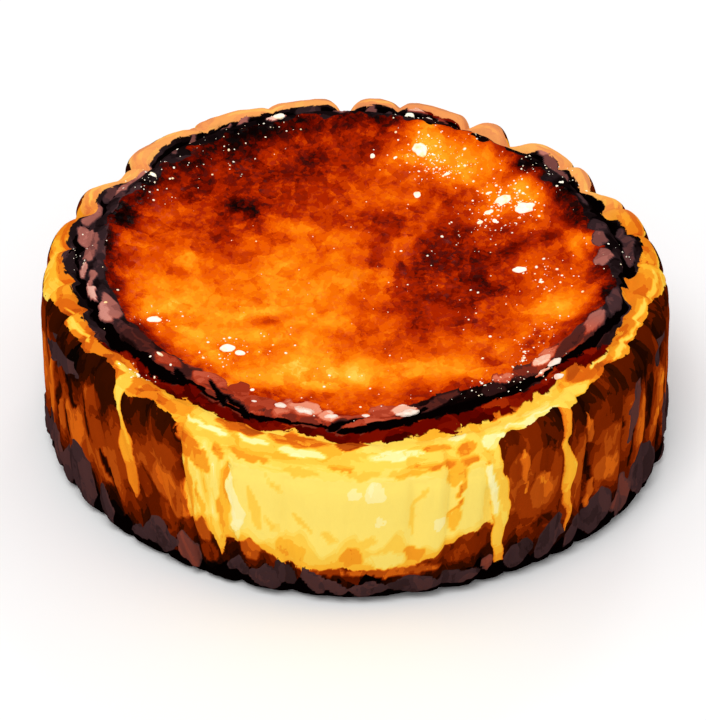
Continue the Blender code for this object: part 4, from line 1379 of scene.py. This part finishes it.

# %% [markdown]
# ## Lumps and blisters of sugar
#
# Sugar that boiled out of the cake has dried on it as flat white lumps, set where the top glints, so
# they are painted glints as well as sugar. Pale glassy blisters of sugar on the near and far sides of
# the ring stand where highlights show, and are painted highlights. Both lie on the skin, so each is
# dropped onto it from above. A ball, squashed flat and set along the slope of the skin, does for
# either, once noise has made its edge wavy.

# %% Set lumps on the skin
# White lumps set where the top glints: sugar, and painted glints.
GLINT_LUMPS = (                                # across, away (shares of the radius), half sizes (mm)
    (0.215, 0.680, 2.4, 3.2), (0.477, 0.392, 2.1, 3.0), (0.545, 0.342, 2.6, 3.2),
    (0.201, 0.444, 1.2, 1.6), (0.519, 0.024, 1.7, 2.1), (-0.619, -0.262, 1.8, 2.2),
    (-0.390, -0.410, 2.2, 1.9), (-0.350, -0.432, 1.5, 1.3), (-0.652, 0.485, 0.8, 1.2),
    (-0.250, 0.820, 1.9, 1.8), (0.183, 0.880, 1.7, 1.2), (0.430, 0.336, 1.0, 1.5),
    (0.447, 0.291, 1.1, 0.7), (0.400, 0.286, 0.8, 1.0), (0.432, 0.437, 0.5, 1.2),
    (0.300, 0.554, 0.7, 1.1), (0.664, 0.433, 0.6, 0.9), (0.058, 0.654, 0.9, 1.1),
    (-0.590, -0.500, 1.2, 1.3), (0.132, 0.646, 0.5, 0.8), (0.582, -0.053, 0.5, 0.9),
    (-0.578, 0.650, 0.6, 0.8), (-0.307, -0.640, 0.6, 0.7), (-0.655, -0.560, 1.1, 0.6),
    (-0.622, -0.590, 0.6, 0.9), (-0.680, -0.535, 0.5, 0.5),
)
# Pale blisters set where highlights show on the ring: painted highlights.
HIGHLIGHT_BLISTERS = (                             # the same
    (-0.220, -0.752, 1.9, 1.7), (-0.151, -0.776, 3.3, 3.0), (-0.071, -0.811, 2.2, 1.7),
    (-0.301, -0.727, 0.9, 0.9), (0.033, -0.791, 1.4, 1.0), (0.158, -0.796, 3.6, 2.2),
    (0.605, -0.530, 2.8, 1.6), (0.611, -0.601, 2.1, 1.0), (0.248, 0.855, 1.6, 1.2),
)
LUMP_FLATNESS = 0.38                     # how thick a lump is, as a share of its smaller half size
LUMP_RAGGEDNESS = 0.35
MILLIMETRE = 0.001


def drop(x, y):
    """Find the skin under this place: where it is and which way it faces."""
    return skin_tree.ray_cast(Vector((x, y, 0.1)), Vector((0.0, 0.0, -1.0)))[:2]


def seat(spot, normal, turn, sizes):
    """A matrix that sets a ball on the skin, turned about its normal and scaled to these half sizes."""
    upright = normal.to_track_quat("Z", "Y").to_matrix().to_4x4()
    return (Matrix.Translation(spot) @ upright @ Matrix.Rotation(turn, 4, "Z")
            @ Matrix.Diagonal((*sizes, 1.0)))


def lump(bm, across, away, half_width, half_depth):
    """Set a flat lump of sugar with a wavy edge on the skin."""
    spot, normal = drop(across * CAKE_RADIUS, away * CAKE_RADIUS)
    thickness = min(half_width, half_depth) * LUMP_FLATNESS
    sizes = [size * MILLIMETRE for size in (half_width, half_depth, thickness)]
    made = bmesh.ops.create_icosphere(bm, subdivisions=3, radius=1.0, matrix=seat(spot, normal, 0.0, sizes))
    for vertex in made["verts"]:
        swollen = 1.0 + LUMP_RAGGEDNESS * noise.noise(vertex.co * 700.0)
        vertex.co = spot + (vertex.co - spot) * swollen


def finished_mesh(bm, name):
    """Keep what was made as a smooth mesh."""
    mesh = bpy.data.meshes.new(name)
    bm.to_mesh(mesh)
    bm.free()
    mesh.shade_smooth()
    return mesh


def raise_highlight_blisters():
    """Join the glassy blisters, which are painted highlights, in one mesh."""
    bm = bmesh.new()
    for spot in HIGHLIGHT_BLISTERS:
        lump(bm, *spot)
    return finished_mesh(bm, "painted_highlight_blisters")


print(len(GLINT_LUMPS), "lumps and", len(HIGHLIGHT_BLISTERS), "blisters")

# %% [markdown]
# ## Grains of sugar
#
# Round the lumps the sugar lies as tiny pale grains, thickest near a few spots where the top glints,
# so they are painted glints as well as sugar. Each is a ball of twenty faces, turned and squashed at
# random from one seed, so that the same grains come out every time. Far more are small than large,
# which a gamma draw gives. With the lumps in their middles, all of them are joined in one mesh.

# %% Scatter the grains
GRAIN_SEED = 11
GRAIN_REACH = 0.9                        # no grain lies further out, as a share of the radius
GRAIN_SMALLEST, GRAIN_LARGEST, GRAIN_SCALE = 0.00008, 0.00055, 0.00009
# The grains gather round the glints, and are painted glints as well as sugar.
GLINT_GRAIN_SPOTS = (                          # across, away, spread, number
    (0.22, 0.66, 0.12, 110), (0.30, 0.60, 0.14, 110), (0.50, 0.37, 0.13, 170), (0.42, 0.28, 0.12, 50),
    (0.60, -0.05, 0.12, 50), (0.58, -0.29, 0.08, 20), (-0.40, -0.40, 0.14, 45), (-0.62, -0.24, 0.10, 24),
    (-0.66, 0.46, 0.12, 40), (-0.48, 0.66, 0.14, 40), (-0.25, 0.80, 0.10, 24), (0.20, 0.86, 0.10, 30),
    (0.65, 0.52, 0.14, 50), (-0.86, 0.06, 0.08, 16), (0.0, -0.66, 0.25, 30), (0.0, 0.0, 0.60, 70),
    (0.50, -0.60, 0.10, 24), (0.78, 0.05, 0.10, 16), (0.50, -0.44, 0.12, 40), (0.40, -0.63, 0.10, 24),
    (-0.65, -0.56, 0.07, 26),
)


def scatter_grains_and_glints():
    """Join all grains, and the white lumps in their middles, in one mesh: sugar, and painted glints."""
    draw = np.random.default_rng(GRAIN_SEED)
    bm = bmesh.new()
    for spot in GLINT_LUMPS:
        lump(bm, *spot)
    for across, away, spread, number in GLINT_GRAIN_SPOTS:
        for _ in range(number):
            x, y = across + draw.normal() * spread * 0.5, away + draw.normal() * spread * 0.5
            turn, stretch = draw.uniform(0.0, 3.1), draw.uniform(0.7, 1.4)
            size = draw.gamma(1.6, GRAIN_SCALE)
            if math.hypot(x, y) > GRAIN_REACH:
                continue
            spot, normal = drop(x * CAKE_RADIUS, y * CAKE_RADIUS)
            size = min(GRAIN_LARGEST, size + GRAIN_SMALLEST)
            matrix = seat(spot, normal, turn, (size * stretch, size, size * 0.7))
            bmesh.ops.create_icosphere(bm, subdivisions=1, radius=1.0, matrix=matrix)
    return finished_mesh(bm, "sugar_grains_and_glints")


print("up to", sum(number for across, away, spread, number in GLINT_GRAIN_SPOTS), "grains")

# %% [markdown]
# ## The finish of the sugar
#
# Dried sugar is white, and a faint glow of its own, painted light, makes its lumps and grains shine
# as glints. The blisters are clear and rosy, painted highlights, and don't glow. One function makes
# both, from two colours.

# %% Finish the sugar
def finish_sugar(name, pale, deep, glow):
    """Make the material of sugar: pale, glassy, a little uneven, and glowing with painted light when glow
    is above zero.
    """
    material, shader, place = new_material(name)
    colour = place.grain(0.003, 2.0).ramp(((0.48, pale), (0.72, deep)))
    wire(shader.inputs["Base Color"], colour)
    wire(shader.inputs["Roughness"], place.grain(0.001) * 0.3 + 0.1)
    # Painted light: the emission makes the sugar glow though it is no lamp.
    wire(shader.inputs["Emission Color"], colour)
    shader.inputs["Emission Strength"].default_value = glow
    return material


# The white sugar glows a little as painted glints; the rosy blisters are painted highlights.
WHITE_SUGAR_GLINT = finish_sugar("dried_sugar_painted_glint", (255, 248, 226), (255, 216, 146), 0.2)
PAINTED_HIGHLIGHT_SUGAR = finish_sugar("glassy_sugar_painted_highlight", (255, 234, 216), (248, 188, 160), 0.0)

for mesh, material in ((scatter_grains_and_glints(), WHITE_SUGAR_GLINT), (raise_highlight_blisters(), PAINTED_HIGHLIGHT_SUGAR)):
    mesh.materials.append(material)
    sugar = bpy.data.objects.new(mesh.name, mesh)
    bpy.context.scene.collection.objects.link(sugar)
    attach(sugar, "root")
    print(mesh.name, len(mesh.polygons), "faces")

# %% [markdown]
